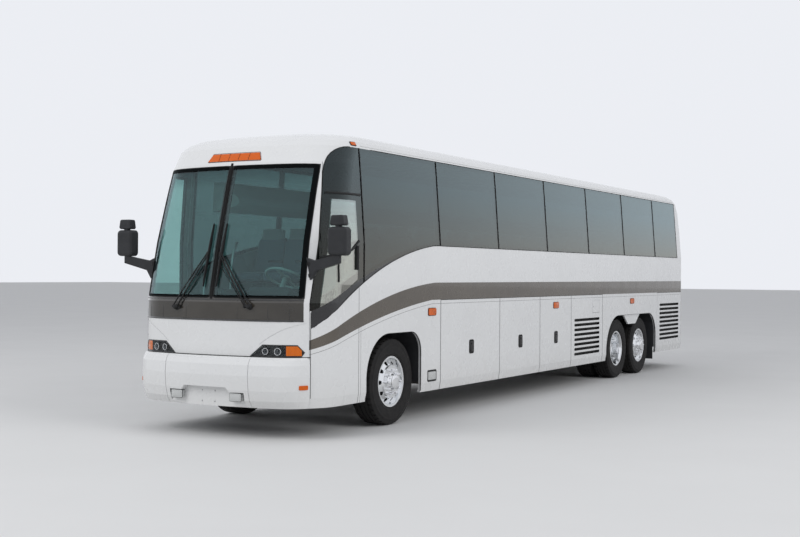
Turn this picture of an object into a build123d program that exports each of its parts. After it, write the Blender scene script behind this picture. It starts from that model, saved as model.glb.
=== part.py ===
from build123d import *
import math
import os

# A three-axle highway coach, about 45 feet long, in millimetres.
# +Z is up, the front faces -Y, the driver sits on the +X side, and the origin is on the ground at mid-length.

# Overall size
LENGTH = 13860
HALF_WIDTH = 1295
ROOF_TOP = 3480
FRONT = -LENGTH / 2
REAR = LENGTH / 2
REACH = 1600  # further out than any side panel
FAR = 4000  # longer than any piece that a cut has to pass
THROUGH = 400  # passes right through the skin

# Heights
SKIRT_BOTTOM = 350
SKIRT_CREASE = 460
BELT = 1500  # the lower panels end here and the upper body starts
SILL = 2190
GLASS_TOP = 3275
SCREEN_TOP = 3080
SCREEN_BOTTOM = 1550
BAND_BOTTOM = 1300
BUMPER_TOP = 905
DOOR_TOP = 3080
FLOOR_TOP = 1380
FLOOR_THICK = 40
COCKPIT_FLOOR = 1060
BAY_FLOOR_TOP = 440

# Walls and gaps
WALL = 40
GLASS = 8
BUMPER_THICK = 60
GAP = 3  # half the gap between neighbouring panels
GLASS_SEAM = 10
PILLAR_WIDTH = 90
DOOR_REAR_GAP = 9  # the entrance door's rear edge swings rearwards as it opens

# Plan shape of the two ends
BUMPER_PROUD = 120
FRONT_FACE = FRONT + BUMPER_PROUD
FRONT_BOW = 4200
FRONT_CORNER = 590
REAR_PROUD = 20
REAR_FACE = REAR - REAR_PROUD
REAR_BOW = 20000
REAR_CORNER = 120

# Lengthwise stations
SEAM_FRONT = -6533  # the front mask meets the side
RAKE = 0.2246  # the windscreen corner runs back this far for each mm of height
SEAM_DOOR = -5700
CAP_SEAM = -5640
BAY_SEAMS = (-3745, -1955, -515, 755)
CONDENSER_END = 2195
ARCH_END = 5205
REAR_SEAM = 6755
GLASS_END = 6500
PANE_START = -3765
PANE_PITCH = 1767

# Wheels
AXLE_FRONT = -4845
WHEELBASE = 8000
TAG_SPACING = 1220
AXLE_DRIVE = AXLE_FRONT + WHEELBASE
AXLE_TAG = AXLE_DRIVE + TAG_SPACING
TYRE_RADIUS = 525
TYRE_WIDTH = 300
BEAD_RADIUS = 290
RIM_FLANGE = 306
RIM_HALF_WIDTH = 128
WHEEL_X = 1070
DUAL_SPACING = 343
KINGPIN_X = 960
SPINDLE = 44
HUB_CLEARANCE = 0.1
HAND_HOLES = 10
HAND_HOLE_RING = 228
HAND_HOLE = 26

# Frame rails
RAIL_INNER = 400
RAIL_WIDTH = 50
RAIL_BOTTOM = 700
RAIL_TOP = 860

os.makedirs("parts", exist_ok=True)


def finish(piece, label):
    """Names a finished piece and writes it."""
    piece.part.label = label
    export_step(piece.part, f"parts/{label}.step")


# Body form: height, half width, front, front corner, rear, rear corner, share of the wall laid flat
BODY = (
    (SKIRT_BOTTOM, 1277, FRONT_FACE + 18, FRONT_CORNER - 18, REAR_FACE - 18, REAR_CORNER - 18, 0),
    (SKIRT_CREASE, 1295, FRONT_FACE, FRONT_CORNER, REAR_FACE, REAR_CORNER, 0),
    (BELT, 1295, FRONT_FACE, FRONT_CORNER, REAR_FACE, REAR_CORNER, 0),
    (1850, 1295, FRONT_FACE + 70, FRONT_CORNER, REAR_FACE, REAR_CORNER, 0),
    (SILL, 1295, FRONT_FACE + 146, FRONT_CORNER, REAR_FACE, REAR_CORNER, 0),
    (2750, 1253, FRONT_FACE + 288, FRONT_CORNER, REAR_FACE - 5, 135, 0),
    (SCREEN_TOP, 1228, FRONT_FACE + 382, FRONT_CORNER, REAR_FACE - 25, 170, 0.05),
    (GLASS_TOP, 1210, FRONT_FACE + 490, FRONT_CORNER, REAR_FACE - 80, 220, 0.2),
    (3350, 1182, FRONT_FACE + 590, FRONT_CORNER, REAR_FACE - 150, 280, 0.4),
    (3410, 1120, FRONT_FACE + 730, 610, REAR_FACE - 265, 360, 0.65),
    (3450, 990, FRONT_FACE + 930, 600, REAR_FACE - 430, 440, 0.85),
    (ROOF_TOP, 640, FRONT_FACE + 1380, 450, REAR_FACE - 820, 400, 1),
)


def bowed_end(half_width, end, bow, corner, sign):
    """Where a bowed end of radius bow meets its corner arc: centre height, middle point, tangent point."""
    centre_x = half_width - corner
    bow_centre = end - sign * bow
    centre_y = bow_centre + sign * math.sqrt((bow - corner) ** 2 - centre_x**2)
    reach = bow / (bow - corner)
    tangent = (centre_x * reach, bow_centre + (centre_y - bow_centre) * reach)
    angle = math.atan2(abs(tangent[1] - centre_y), tangent[0] - centre_x) / 2
    middle = (
        centre_x + corner * math.cos(angle),
        centre_y + sign * corner * math.sin(angle),
    )
    return centre_y, middle, tangent


def plan_outline(half_width, front, front_bow, front_corner, rear, rear_bow, rear_corner):
    """The body's outline seen from above: two straight sides and two bowed ends."""
    front_y, front_mid, front_tan = bowed_end(half_width, front, front_bow, front_corner, -1)
    rear_y, rear_mid, rear_tan = bowed_end(half_width, rear, rear_bow, rear_corner, 1)

    def other(point):
        return (-point[0], point[1])

    with BuildSketch() as outline:
        with BuildLine():
            ThreePointArc(other(front_tan), (0, front), front_tan)
            ThreePointArc(front_tan, front_mid, (half_width, front_y))
            Line((half_width, front_y), (half_width, rear_y))
            ThreePointArc((half_width, rear_y), rear_mid, rear_tan)
            ThreePointArc(rear_tan, (0, rear), other(rear_tan))
            ThreePointArc(other(rear_tan), other(rear_mid), (-half_width, rear_y))
            Line((-half_width, rear_y), (-half_width, front_y))
            ThreePointArc((-half_width, front_y), other(front_mid), other(front_tan))
        make_face()
    return outline.sketch


def body_form(inset):
    """The whole body as one closed form, drawn in from its outer face by inset."""
    with BuildPart() as form:
        for height, half, front, corner, rear, rear_corner, flat in BODY:
            side = inset * (1 - flat)
            with BuildSketch(Plane.XY.offset(height - inset * flat)):
                add(
                    plan_outline(
                        half - side,
                        front + side,
                        FRONT_BOW - side,
                        corner - side,
                        rear - side,
                        REAR_BOW - side,
                        rear_corner - side,
                    )
                )
        loft(ruled=True)
    return form.part


def seam_y(height):
    """Station of the seam between the front mask and the side at a height."""
    return SEAM_FRONT + max(0, height - BELT) * RAKE


outer_form = body_form(0)
glass_form = body_form(GLASS)
inner_form = body_form(WALL)

with BuildPart() as shell:
    add(outer_form)
    add(inner_form, mode=Mode.SUBTRACT)

with BuildPart() as glass_layer:
    add(outer_form)
    add(glass_form, mode=Mode.SUBTRACT)

# Side regions, drawn flat as length and height: the sweeping belt line, then the glass band above it
BELT_SWEEP = ((SEAM_FRONT, 990), (-5400, 1283), (-4175, 1480))
BELT_TURN = (-3960, 1495)
BELT_LEVEL = BAY_SEAMS[0]
SILL_SWEEP = ((SEAM_FRONT, 1410), (-5216, 1925), (-3900, SILL))
GLASS_CORNER = 380

with BuildSketch() as upper_region:
    with BuildLine():
        ThreePointArc(*BELT_SWEEP)
        ThreePointArc(BELT_SWEEP[2], BELT_TURN, (BELT_LEVEL, BELT))
        Line((BELT_LEVEL, BELT), (GLASS_END, BELT))
        Line((GLASS_END, BELT), (GLASS_END, GLASS_TOP))
        Line((GLASS_END, GLASS_TOP), (seam_y(GLASS_TOP), GLASS_TOP))
        Line((seam_y(GLASS_TOP), GLASS_TOP), (SEAM_FRONT, BELT))
        Line((SEAM_FRONT, BELT), BELT_SWEEP[0])
    make_face()

with BuildSketch() as arch_panel_region:
    with BuildLine():
        ThreePointArc(*BELT_SWEEP)
        ThreePointArc(BELT_SWEEP[2], BELT_TURN, (BELT_LEVEL, BELT))
        Line((BELT_LEVEL, BELT), (BELT_LEVEL, 0))
        Line((BELT_LEVEL, 0), (SEAM_FRONT, 0))
        Line((SEAM_FRONT, 0), BELT_SWEEP[0])
    make_face()

with BuildSketch() as glass_band:
    with BuildLine():
        ThreePointArc(*SILL_SWEEP)
        Line(SILL_SWEEP[2], (GLASS_END, SILL))
        Line((GLASS_END, SILL), (GLASS_END, GLASS_TOP))
        Line((GLASS_END, GLASS_TOP), (seam_y(GLASS_TOP), GLASS_TOP))
        Line((seam_y(GLASS_TOP), GLASS_TOP), (SEAM_FRONT, BELT))
        Line((SEAM_FRONT, BELT), SILL_SWEEP[0])
    make_face()
    fillet(glass_band.vertices().group_by(Axis.Y)[-1].sort_by(Axis.X)[0], GLASS_CORNER)

pane_edges = [CAP_SEAM] + [PANE_START + PANE_PITCH * step for step in range(6)] + [GLASS_END]


def pane_faces(edges, seam, inset):
    """The panes between neighbouring edges of the glass band, each drawn in by inset."""
    faces = []
    for start, end in zip(edges, edges[1:]):
        with BuildSketch() as pane:
            add(glass_band.sketch)
            with Locations(((start + end) / 2, GLASS_TOP)):
                Rectangle(end - start - seam, FAR, mode=Mode.INTERSECT)
            if inset:
                offset(amount=-inset, kind=Kind.INTERSECTION, mode=Mode.REPLACE)
        faces.append(pane.sketch)
    return faces


# Wheel arches, cut with one outline for the panel and a wider one for the housing behind it
ARCH_TOP = 1120
HOUSING_THICK = 12
HOUSING_INNER = 560
HOUSING_BOTTOM = SKIRT_CREASE + 20


def arch_outline(front, rear, front_radius, rear_radius, grow):
    """A wheel arch seen from the side: upright at the skirt, rounded into a flat top."""
    with BuildSketch() as arch:
        with BuildLine():
            Polyline(
                (front - grow, 0),
                (front - grow, ARCH_TOP + grow),
                (rear + grow, ARCH_TOP + grow),
                (rear + grow, 0),
                close=True,
            )
        make_face()
        fillet(arch.vertices().group_by(Axis.Y)[-1].sort_by(Axis.X)[0], front_radius + grow)
        fillet(arch.vertices().group_by(Axis.Y)[-1].sort_by(Axis.X)[-1], rear_radius + grow)
    return arch.sketch


# Arch: axle it is measured from, front edge, rear edge, front radius, rear radius
ARCHES = (
    (AXLE_FRONT - 730, AXLE_FRONT + 588, 520, 260),
    (AXLE_DRIVE - 770, AXLE_DRIVE + 1970, 640, 420),
)

with BuildPart() as arch_cuts:
    for arch in ARCHES:
        with BuildSketch(Plane.YZ):
            add(arch_outline(*arch, 0))
        extrude(amount=REACH, both=True)

# Fixed lower panels round the arches, with a tapered filler hung between the drive and tag wheels
REAR_ARCH_PANEL = (CONDENSER_END + GAP, ARCH_END - GAP)
FILLER_MIDDLE = (AXLE_DRIVE + AXLE_TAG) / 2
FILLER_TOP_HALF = 442
FILLER_FOOT_HALF = 199
FILLER_DROP = 172
FILLER_THICK = 26

# Square lamp let into each side behind the front wheel
SIDE_LAMP = (200, 100)
SIDE_LAMP_PLACE = (-3975, 540)
SIDE_LAMP_POCKET = 15
LAMP_RIM = 25

with BuildPart() as skirt_panels:
    with BuildSketch(Plane.YZ):
        add(arch_panel_region.sketch)
        with Locations((SEAM_DOOR, BELT / 2), (BELT_LEVEL, BELT / 2)):
            Rectangle(2 * GAP, 2 * BELT, mode=Mode.SUBTRACT)
        with Locations((sum(REAR_ARCH_PANEL) / 2, BELT / 2)):
            Rectangle(REAR_ARCH_PANEL[1] - REAR_ARCH_PANEL[0], BELT)
    extrude(amount=REACH, both=True)
    with Locations((-REACH / 2, (FRONT + SEAM_DOOR) / 2 - GAP, BELT / 2)):
        Box(REACH, SEAM_DOOR - FRONT + 2 * GAP, 2 * BELT, mode=Mode.SUBTRACT)
    add(shell.part, mode=Mode.INTERSECT)
    add(arch_cuts.part, mode=Mode.SUBTRACT)
    for side in (-1, 1):
        with BuildSketch(Plane.YZ.offset(side * (HALF_WIDTH - WALL))):
            with BuildLine():
                Polyline(
                    (FILLER_MIDDLE - FILLER_TOP_HALF, ARCH_TOP),
                    (FILLER_MIDDLE + FILLER_TOP_HALF, ARCH_TOP),
                    (FILLER_MIDDLE + FILLER_FOOT_HALF, ARCH_TOP - FILLER_DROP),
                    (FILLER_MIDDLE - FILLER_FOOT_HALF, ARCH_TOP - FILLER_DROP),
                    close=True,
                )
            make_face()
        extrude(amount=side * FILLER_THICK)
        with BuildSketch(Plane.YZ.offset(side * (HALF_WIDTH - SIDE_LAMP_POCKET))):
            with Locations(SIDE_LAMP_PLACE):
                RectangleRounded(SIDE_LAMP[0] + 2 * LAMP_RIM, SIDE_LAMP[1] + 2 * LAMP_RIM, LAMP_RIM)
        extrude(amount=side * WALL, mode=Mode.SUBTRACT)
finish(skirt_panels, "skirt_panels")

# Wheel housings, with a mud flap hung behind each tag wheel
FLAP_STATION = AXLE_TAG + 680
FLAP_THICK = 12
FLAP_BOTTOM = 230
FLAP_TOP = 1000
FLAP_INNER = 905

with BuildPart() as wheel_housings:
    for arch in ARCHES:
        with BuildSketch(Plane.YZ.offset(HOUSING_INNER)):
            add(arch_outline(*arch, HOUSING_THICK))
            add(arch_outline(*arch, 0), mode=Mode.SUBTRACT)
            Rectangle(LENGTH, 2 * HOUSING_BOTTOM, mode=Mode.SUBTRACT)
        extrude(amount=HALF_WIDTH - WALL - HOUSING_INNER)
    with BuildSketch(Plane.YZ.offset(FLAP_INNER)):
        add(arch_outline(*ARCHES[1], HOUSING_THICK / 2))
        with Locations((FLAP_STATION, FLAP_BOTTOM)):
            Rectangle(
                FLAP_THICK,
                FLAP_TOP - FLAP_BOTTOM,
                align=(Align.CENTER, Align.MIN),
                mode=Mode.INTERSECT,
            )
    extrude(amount=HALF_WIDTH - WALL - FLAP_INNER)
    mirror(about=Plane.YZ)
finish(wheel_housings, "wheel_housings")

# Upper side walls with a rebate for the glass and window openings between pillars
with BuildPart() as left_panes:
    with BuildSketch(Plane.YZ):
        for face in pane_faces([FRONT] + pane_edges, GLASS_SEAM, 0):
            add(face)
    extrude(amount=REACH)
    add(glass_layer.part, mode=Mode.INTERSECT)

with BuildPart() as right_panes:
    with BuildSketch(Plane.YZ):
        for face in pane_faces(pane_edges, GLASS_SEAM, 0):
            add(face)
    extrude(amount=-REACH)
    add(glass_layer.part, mode=Mode.INTERSECT)

with BuildPart() as side_windows:
    add(left_panes.part)
    add(right_panes.part)
finish(side_windows, "side_windows")

# The driver's window is one opening under the glass, with a sloping sash bar and an upright one below it
DRIVER_FRAME = 95
DRIVER_WINDOW_TOP = 2640
SASH_BAR = 30
SASH_SLOPE = ((-6700, 1950), (-5600, 2250))
SASH_UPRIGHT = -6150

with BuildSketch() as driver_opening:
    add(pane_faces([FRONT, CAP_SEAM], 0, DRIVER_FRAME)[0])
    with Locations((CAP_SEAM, DRIVER_WINDOW_TOP)):
        Rectangle(FAR, FAR, align=(Align.CENTER, Align.MAX), mode=Mode.INTERSECT)
    with BuildLine():
        sash = Line(*SASH_SLOPE)
    with Locations(Location((*(sash @ 0.5), 0), sash.tangent_angle_at(0.5))):
        Rectangle(sash.length, SASH_BAR, mode=Mode.SUBTRACT)
    with Locations((SASH_UPRIGHT, (sash @ 0.5).Y)):
        Rectangle(SASH_BAR, FAR, align=(Align.CENTER, Align.MAX), mode=Mode.SUBTRACT)

with BuildPart() as window_openings:
    with BuildSketch(Plane.YZ):
        for face in pane_faces(pane_edges, 0, PILLAR_WIDTH / 2):
            add(face)
    extrude(amount=REACH, both=True)
    with BuildSketch(Plane.YZ):
        add(driver_opening.sketch)
    extrude(amount=REACH)

with BuildPart() as side_walls:
    with BuildSketch(Plane.YZ):
        add(upper_region.sketch)
    extrude(amount=REACH, both=True)
    with Locations((-REACH / 2, (FRONT + SEAM_DOOR) / 2, DOOR_TOP + GAP - FAR / 2)):
        Box(REACH, SEAM_DOOR - FRONT + 2 * GAP, FAR, mode=Mode.SUBTRACT)
    add(shell.part, mode=Mode.INTERSECT)
    add(side_windows.part, mode=Mode.SUBTRACT)
    add(window_openings.part, mode=Mode.SUBTRACT)
finish(side_walls, "side_walls")

# Roof skin with two hatch openings between curved coves, then the front cap
HATCH = 600
HATCHES = (("front_hatch", -2600), ("rear_hatch", 3200))
COVE_SEAM = 990

with BuildPart() as roof_coves:
    for side in (-1, 1):
        with Locations((side * COVE_SEAM, (CAP_SEAM + REAR) / 2, GLASS_TOP)):
            Box(
                REACH,
                REAR - CAP_SEAM,
                THROUGH,
                align=(Align.MIN if side > 0 else Align.MAX, Align.CENTER, Align.MIN),
            )
    add(shell.part, mode=Mode.INTERSECT)
finish(roof_coves, "roof_coves")

with BuildPart() as roof:
    with Locations((0, (CAP_SEAM + REAR) / 2, GLASS_TOP)):
        Box(2 * COVE_SEAM, REAR - CAP_SEAM, THROUGH, align=(Align.CENTER, Align.CENTER, Align.MIN))
    add(shell.part, mode=Mode.INTERSECT)
    for label, station in HATCHES:
        with Locations((0, station, ROOF_TOP)):
            Box(HATCH, HATCH, THROUGH, mode=Mode.SUBTRACT)
finish(roof, "roof")

for label, station in HATCHES:
    with BuildPart() as hatch:
        with Locations((0, station, ROOF_TOP)):
            Box(HATCH - 4 * GAP, HATCH - 4 * GAP, THROUGH)
        add(shell.part, mode=Mode.INTERSECT)
    finish(hatch, label)

with BuildPart() as front_cap:
    with BuildSketch(Plane.YZ):
        with BuildLine():
            Polyline(
                (FRONT, SCREEN_TOP),
                (seam_y(SCREEN_TOP), SCREEN_TOP),
                (seam_y(GLASS_TOP), GLASS_TOP),
                (CAP_SEAM, GLASS_TOP),
                (CAP_SEAM, ROOF_TOP + THROUGH),
                (FRONT, ROOF_TOP + THROUGH),
                close=True,
            )
        make_face()
    extrude(amount=REACH, both=True)
    add(shell.part, mode=Mode.INTERSECT)
finish(front_cap, "front_cap")

# Windscreen halves, either side of a centre bar
MULLION = 50
SCREEN_EDGE_LOW = 1105
SCREEN_EDGE_HIGH = 1060
SCREEN_DROP = 30
SCREEN_CORNER = 40
SCREEN_REBATE = 28

with BuildSketch() as screen_halves:
    with BuildLine():
        Polyline(
            (MULLION / 2, SCREEN_BOTTOM),
            (SCREEN_EDGE_LOW, SCREEN_BOTTOM),
            (SCREEN_EDGE_HIGH, SCREEN_TOP - SCREEN_DROP),
            (MULLION / 2, SCREEN_TOP - SCREEN_DROP),
            close=True,
        )
    make_face()
    fillet(screen_halves.vertices().group_by(Axis.Y)[-1].sort_by(Axis.X)[-1], SCREEN_CORNER)
    mirror(about=Plane.YZ)

with BuildPart() as windscreen:
    with BuildSketch(Plane.XZ.offset(-SEAM_DOOR)):
        add(screen_halves.sketch)
    extrude(amount=SEAM_DOOR - FRONT)
    add(glass_layer.part, mode=Mode.INTERSECT)
finish(windscreen, "windscreen")

with BuildPart() as screen_openings:
    with BuildSketch(Plane.XZ.offset(-SEAM_DOOR)):
        add(screen_halves.sketch)
        offset(amount=-SCREEN_REBATE, kind=Kind.INTERSECTION, mode=Mode.REPLACE)
    extrude(amount=SEAM_DOOR - FRONT)

with BuildPart() as wiper_panel:
    with Locations((0, FRONT, (BAND_BOTTOM + SCREEN_BOTTOM) / 2)):
        Box(2 * SCREEN_EDGE_LOW, 2 * (SEAM_FRONT - 2 * GAP - FRONT), SCREEN_BOTTOM - BAND_BOTTOM)
    add(shell.part, mode=Mode.INTERSECT)
finish(wiper_panel, "wiper_panel")

# Headlamp clusters in the mask's lower corners: a shallow bowl, two round lamps and a turn signal outboard
HEADLAMP = ((528, 912), (682, 1040), (1056, 1040), (1116, 962), (1088, 912))
BOWL_DEPTH = 26
LAMP_RECESS = 6
ROUND_LAMPS = ((710, 42), (856, 46))
ROUND_LAMP_Z = 970
TURN_SIGNAL_INNER = 940

with BuildSketch() as headlamp_outline:
    with BuildLine():
        Polyline(*HEADLAMP, close=True)
    make_face()
    mirror(about=Plane.YZ)

with BuildSketch() as lamp_outline:
    for across, radius in ROUND_LAMPS:
        with Locations((across, ROUND_LAMP_Z), (-across, ROUND_LAMP_Z)):
            Circle(radius)

with BuildPart() as headlamp_space:
    with BuildSketch(Plane.XZ.offset(-SEAM_FRONT + 3 * GAP)):
        add(headlamp_outline.sketch)
    extrude(amount=SEAM_FRONT - FRONT)
    add(shell.part, mode=Mode.INTERSECT)

with BuildPart() as headlamp_hollow:
    with BuildSketch(Plane.XZ.offset(-SEAM_FRONT + 3 * GAP)):
        add(headlamp_outline.sketch)
        with Locations((0, ROUND_LAMP_Z)):
            Rectangle(2 * TURN_SIGNAL_INNER, THROUGH, mode=Mode.INTERSECT)
        add(lamp_outline.sketch, mode=Mode.SUBTRACT)
    extrude(amount=SEAM_FRONT - FRONT)
    add(outer_form.moved(Location((0, BOWL_DEPTH, 0))), mode=Mode.SUBTRACT)

with BuildPart() as lamp_front:
    with BuildSketch(Plane.XZ.offset(-SEAM_FRONT + 3 * GAP)):
        add(lamp_outline.sketch)
    extrude(amount=SEAM_FRONT - FRONT)
    add(outer_form.moved(Location((0, LAMP_RECESS, 0))), mode=Mode.SUBTRACT)

with BuildPart() as headlamps:
    add(headlamp_space.part)
    add(headlamp_hollow.part, mode=Mode.SUBTRACT)
    add(lamp_front.part, mode=Mode.SUBTRACT)
finish(headlamps, "headlamps")

# A crease runs from each headlamp up to the side
HOOD_LINE = ((645, 1046), (917, 1208), (1125, 1280))
CREASE_WIDTH = 7
CREASE_DEPTH = 4

with BuildPart() as hood_lines:
    with BuildSketch(Plane.XZ.offset(-SEAM_FRONT)):
        with BuildLine():
            ThreePointArc(*HOOD_LINE)
        trace(line_width=CREASE_WIDTH)
        mirror(about=Plane.YZ)
    extrude(amount=SEAM_FRONT - FRONT)
    add(outer_form.moved(Location((0, CREASE_DEPTH, 0))), mode=Mode.SUBTRACT)

# Front mask: the panel under the band, the windscreen pillars and the centre bar
with BuildPart() as front_mask:
    with BuildSketch(Plane.YZ):
        with BuildLine():
            Polyline(
                (FRONT, BUMPER_TOP),
                (SEAM_FRONT - 2 * GAP, BUMPER_TOP),
                (SEAM_FRONT - 2 * GAP, BELT),
                (seam_y(SCREEN_TOP) - 2 * GAP, SCREEN_TOP),
                (FRONT, SCREEN_TOP),
                close=True,
            )
        make_face()
    extrude(amount=REACH, both=True)
    add(shell.part, mode=Mode.INTERSECT)
    add(windscreen.part, mode=Mode.SUBTRACT)
    add(screen_openings.part, mode=Mode.SUBTRACT)
    add(wiper_panel.part, mode=Mode.SUBTRACT)
    add(headlamp_space.part, mode=Mode.SUBTRACT)
    add(hood_lines.part, mode=Mode.SUBTRACT)
finish(front_mask, "front_mask")

# Rear cap with the rear window
REAR_WINDOW_HALF = 900
REAR_WINDOW_BOTTOM = 2330
REAR_WINDOW_TOP = 3000
REAR_WINDOW_CORNER = 90

with BuildPart() as rear_window:
    with BuildSketch(Plane.XZ.offset(-GLASS_END)):
        with Locations((0, (REAR_WINDOW_BOTTOM + REAR_WINDOW_TOP) / 2)):
            RectangleRounded(2 * REAR_WINDOW_HALF, REAR_WINDOW_TOP - REAR_WINDOW_BOTTOM, REAR_WINDOW_CORNER)
    extrude(amount=-(REAR - GLASS_END))
    add(glass_layer.part, mode=Mode.INTERSECT)
finish(rear_window, "rear_window")

with BuildPart() as rear_cap:
    with Locations((0, (GLASS_END + REAR) / 2, (BELT + GLASS_TOP) / 2)):
        Box(2 * REACH, REAR - GLASS_END, GLASS_TOP - BELT)
    add(shell.part, mode=Mode.INTERSECT)
    add(rear_window.part, mode=Mode.SUBTRACT)
    with Locations((0, REAR_FACE, (REAR_WINDOW_BOTTOM + REAR_WINDOW_TOP) / 2)):
        Box(
            2 * (REAR_WINDOW_HALF - SCREEN_REBATE),
            THROUGH,
            REAR_WINDOW_TOP - REAR_WINDOW_BOTTOM - 2 * SCREEN_REBATE,
            mode=Mode.SUBTRACT,
        )
finish(rear_cap, "rear_cap")

# Rear lower body, engine door and rear bumper; louvres slope up and inwards to shed rain
ENGINE_DOOR_HALF = 880
ENGINE_DOOR_BOTTOM = 600
ENGINE_LOUVRES = (8, 850, 1346)
ENGINE_LOUVRE_LENGTH = 1500
LOUVRE_SLOPE = 0.45
LOUVRE_SHARE = 0.58
REAR_BUMPER_TOP = 560
REAR_BUMPER_BOTTOM = 370
REAR_BUMPER_HALF = 1240
REAR_BUMPER_CORNER = 130
BUMPER_CORNER = 400


def louvre_slots(middle, length, slots, low, high):
    """A column of long slots between two heights."""
    pitch = (high - low) / slots
    with BuildSketch() as column:
        with Locations((middle, (low + high) / 2)):
            with GridLocations(0, pitch, 1, slots):
                SlotOverall(length, pitch * LOUVRE_SHARE)
    return column.sketch


with BuildPart() as engine_door:
    with Locations((0, REAR_FACE, (ENGINE_DOOR_BOTTOM + BELT) / 2)):
        Box(2 * (ENGINE_DOOR_HALF - GAP), THROUGH, BELT - ENGINE_DOOR_BOTTOM - 4 * GAP)
    add(shell.part, mode=Mode.INTERSECT)
    with BuildSketch(Plane.XZ.offset(-REAR)):
        add(louvre_slots(0, ENGINE_LOUVRE_LENGTH, *ENGINE_LOUVRES))
    extrude(amount=4 * WALL, dir=(0, -1, LOUVRE_SLOPE), mode=Mode.SUBTRACT)
finish(engine_door, "engine_door")

with BuildPart() as rear_panel:
    with Locations((0, (REAR_SEAM + REAR) / 2 + GAP, (SKIRT_BOTTOM + BELT) / 2)):
        Box(2 * REACH, REAR - REAR_SEAM, BELT - SKIRT_BOTTOM)
    add(shell.part, mode=Mode.INTERSECT)
    with Locations((0, REAR_FACE, (ENGINE_DOOR_BOTTOM + BELT) / 2)):
        Box(2 * (ENGINE_DOOR_HALF + GAP), THROUGH, BELT - ENGINE_DOOR_BOTTOM, mode=Mode.SUBTRACT)
finish(rear_panel, "rear_panel")

with BuildPart() as rear_bumper:
    with BuildSketch(Plane.XY.offset(REAR_BUMPER_BOTTOM)):
        add(
            plan_outline(
                REAR_BUMPER_HALF,
                FRONT,
                FRONT_BOW,
                BUMPER_CORNER,
                REAR,
                REAR_BOW,
                REAR_BUMPER_CORNER,
            )
        )
    extrude(amount=REAR_BUMPER_TOP - REAR_BUMPER_BOTTOM)
    add(outer_form, mode=Mode.SUBTRACT)
    with Locations((0, GLASS_END, 0)):
        Box(2 * REACH, LENGTH, FAR, align=(Align.CENTER, Align.MAX, Align.CENTER), mode=Mode.SUBTRACT)
finish(rear_bumper, "rear_bumper")

# Front bumper, bulging forward of the mask: height and how far its face is set back from the front
BUMPER_HALF = 1175
BUMPER_SECTIONS = (
    (SKIRT_BOTTOM, 90),
    (430, 40),
    (540, 12),
    (700, 0),
    (820, 10),
    (880, 35),
    (BUMPER_TOP, 70),
)


def bumper_form(inset):
    """The bumper's bulging outer form, drawn in by inset."""
    with BuildPart() as form:
        for height, set_back in BUMPER_SECTIONS:
            with BuildSketch(Plane.XY.offset(height)):
                add(
                    plan_outline(
                        BUMPER_HALF - inset,
                        FRONT + set_back + inset,
                        FRONT_BOW - inset,
                        BUMPER_CORNER - inset,
                        AXLE_FRONT,
                        REAR_BOW,
                        REAR_CORNER,
                    )
                )
        loft(ruled=True)
    return form.part


# The bumper's middle carries a stepped pad with a flat back for the number plate; grooves mark its sections
PAD_FACE = FRONT + 100
PAD_WALL = 25
PAD_OUTLINE = ((520, SKIRT_BOTTOM - 50), (520, 515), (335, 515), (290, 568))
PLATE_HOLE = 3.5
PLATE_HOLE_SPACING = (177.8, 120.65)
PLATE_Z = 455
BUMPER_SEAM = 580
SEAM_GROOVE = 6

bumper_outer = bumper_form(0)

with BuildSketch() as pad_outline:
    with BuildLine():
        Polyline(*PAD_OUTLINE, (0, PAD_OUTLINE[-1][1]), (0, PAD_OUTLINE[0][1]), close=True)
    make_face()
    mirror(about=Plane.YZ)

with BuildPart() as pad_backing:
    with BuildSketch(Plane.XZ.offset(-PAD_FACE - PAD_WALL)):
        add(pad_outline.sketch)
        offset(amount=PAD_WALL, kind=Kind.INTERSECTION, mode=Mode.REPLACE)
    extrude(amount=PAD_FACE + PAD_WALL - FRONT)
    add(bumper_outer, mode=Mode.INTERSECT)

with BuildPart() as bumper_grooves:
    with Locations((BUMPER_SEAM, FRONT, BUMPER_TOP), (-BUMPER_SEAM, FRONT, BUMPER_TOP)):
        Box(SEAM_GROOVE, 4 * BUMPER_PROUD, 4 * BUMPER_TOP)
    add(bumper_outer.moved(Location((0, SEAM_GROOVE, 0))), mode=Mode.SUBTRACT)

with BuildPart() as front_bumper:
    add(bumper_outer)
    add(bumper_form(BUMPER_THICK), mode=Mode.SUBTRACT)
    with Locations((0, SEAM_FRONT - 2 * GAP, 0)):
        Box(2 * REACH, FAR, FAR, align=(Align.CENTER, Align.MIN, Align.CENTER), mode=Mode.SUBTRACT)
    add(pad_backing.part)
    with BuildSketch(Plane.XZ.offset(-PAD_FACE)):
        add(pad_outline.sketch)
    extrude(amount=PAD_FACE - FRONT + PAD_WALL, mode=Mode.SUBTRACT)
    with BuildSketch(Plane.XZ.offset(-PAD_FACE - PAD_WALL)):
        with Locations((0, PLATE_Z)):
            with GridLocations(*PLATE_HOLE_SPACING, 2, 2):
                Circle(PLATE_HOLE)
    extrude(amount=2 * PAD_WALL, mode=Mode.SUBTRACT)
    add(bumper_grooves.part, mode=Mode.SUBTRACT)
finish(front_bumper, "front_bumper")

# Fog lamps seated on the pad
FOG_LAMP = (155, 85)
FOG_LAMP_PLACE = (412, 462)
FOG_LAMP_DEPTH = 55

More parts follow.
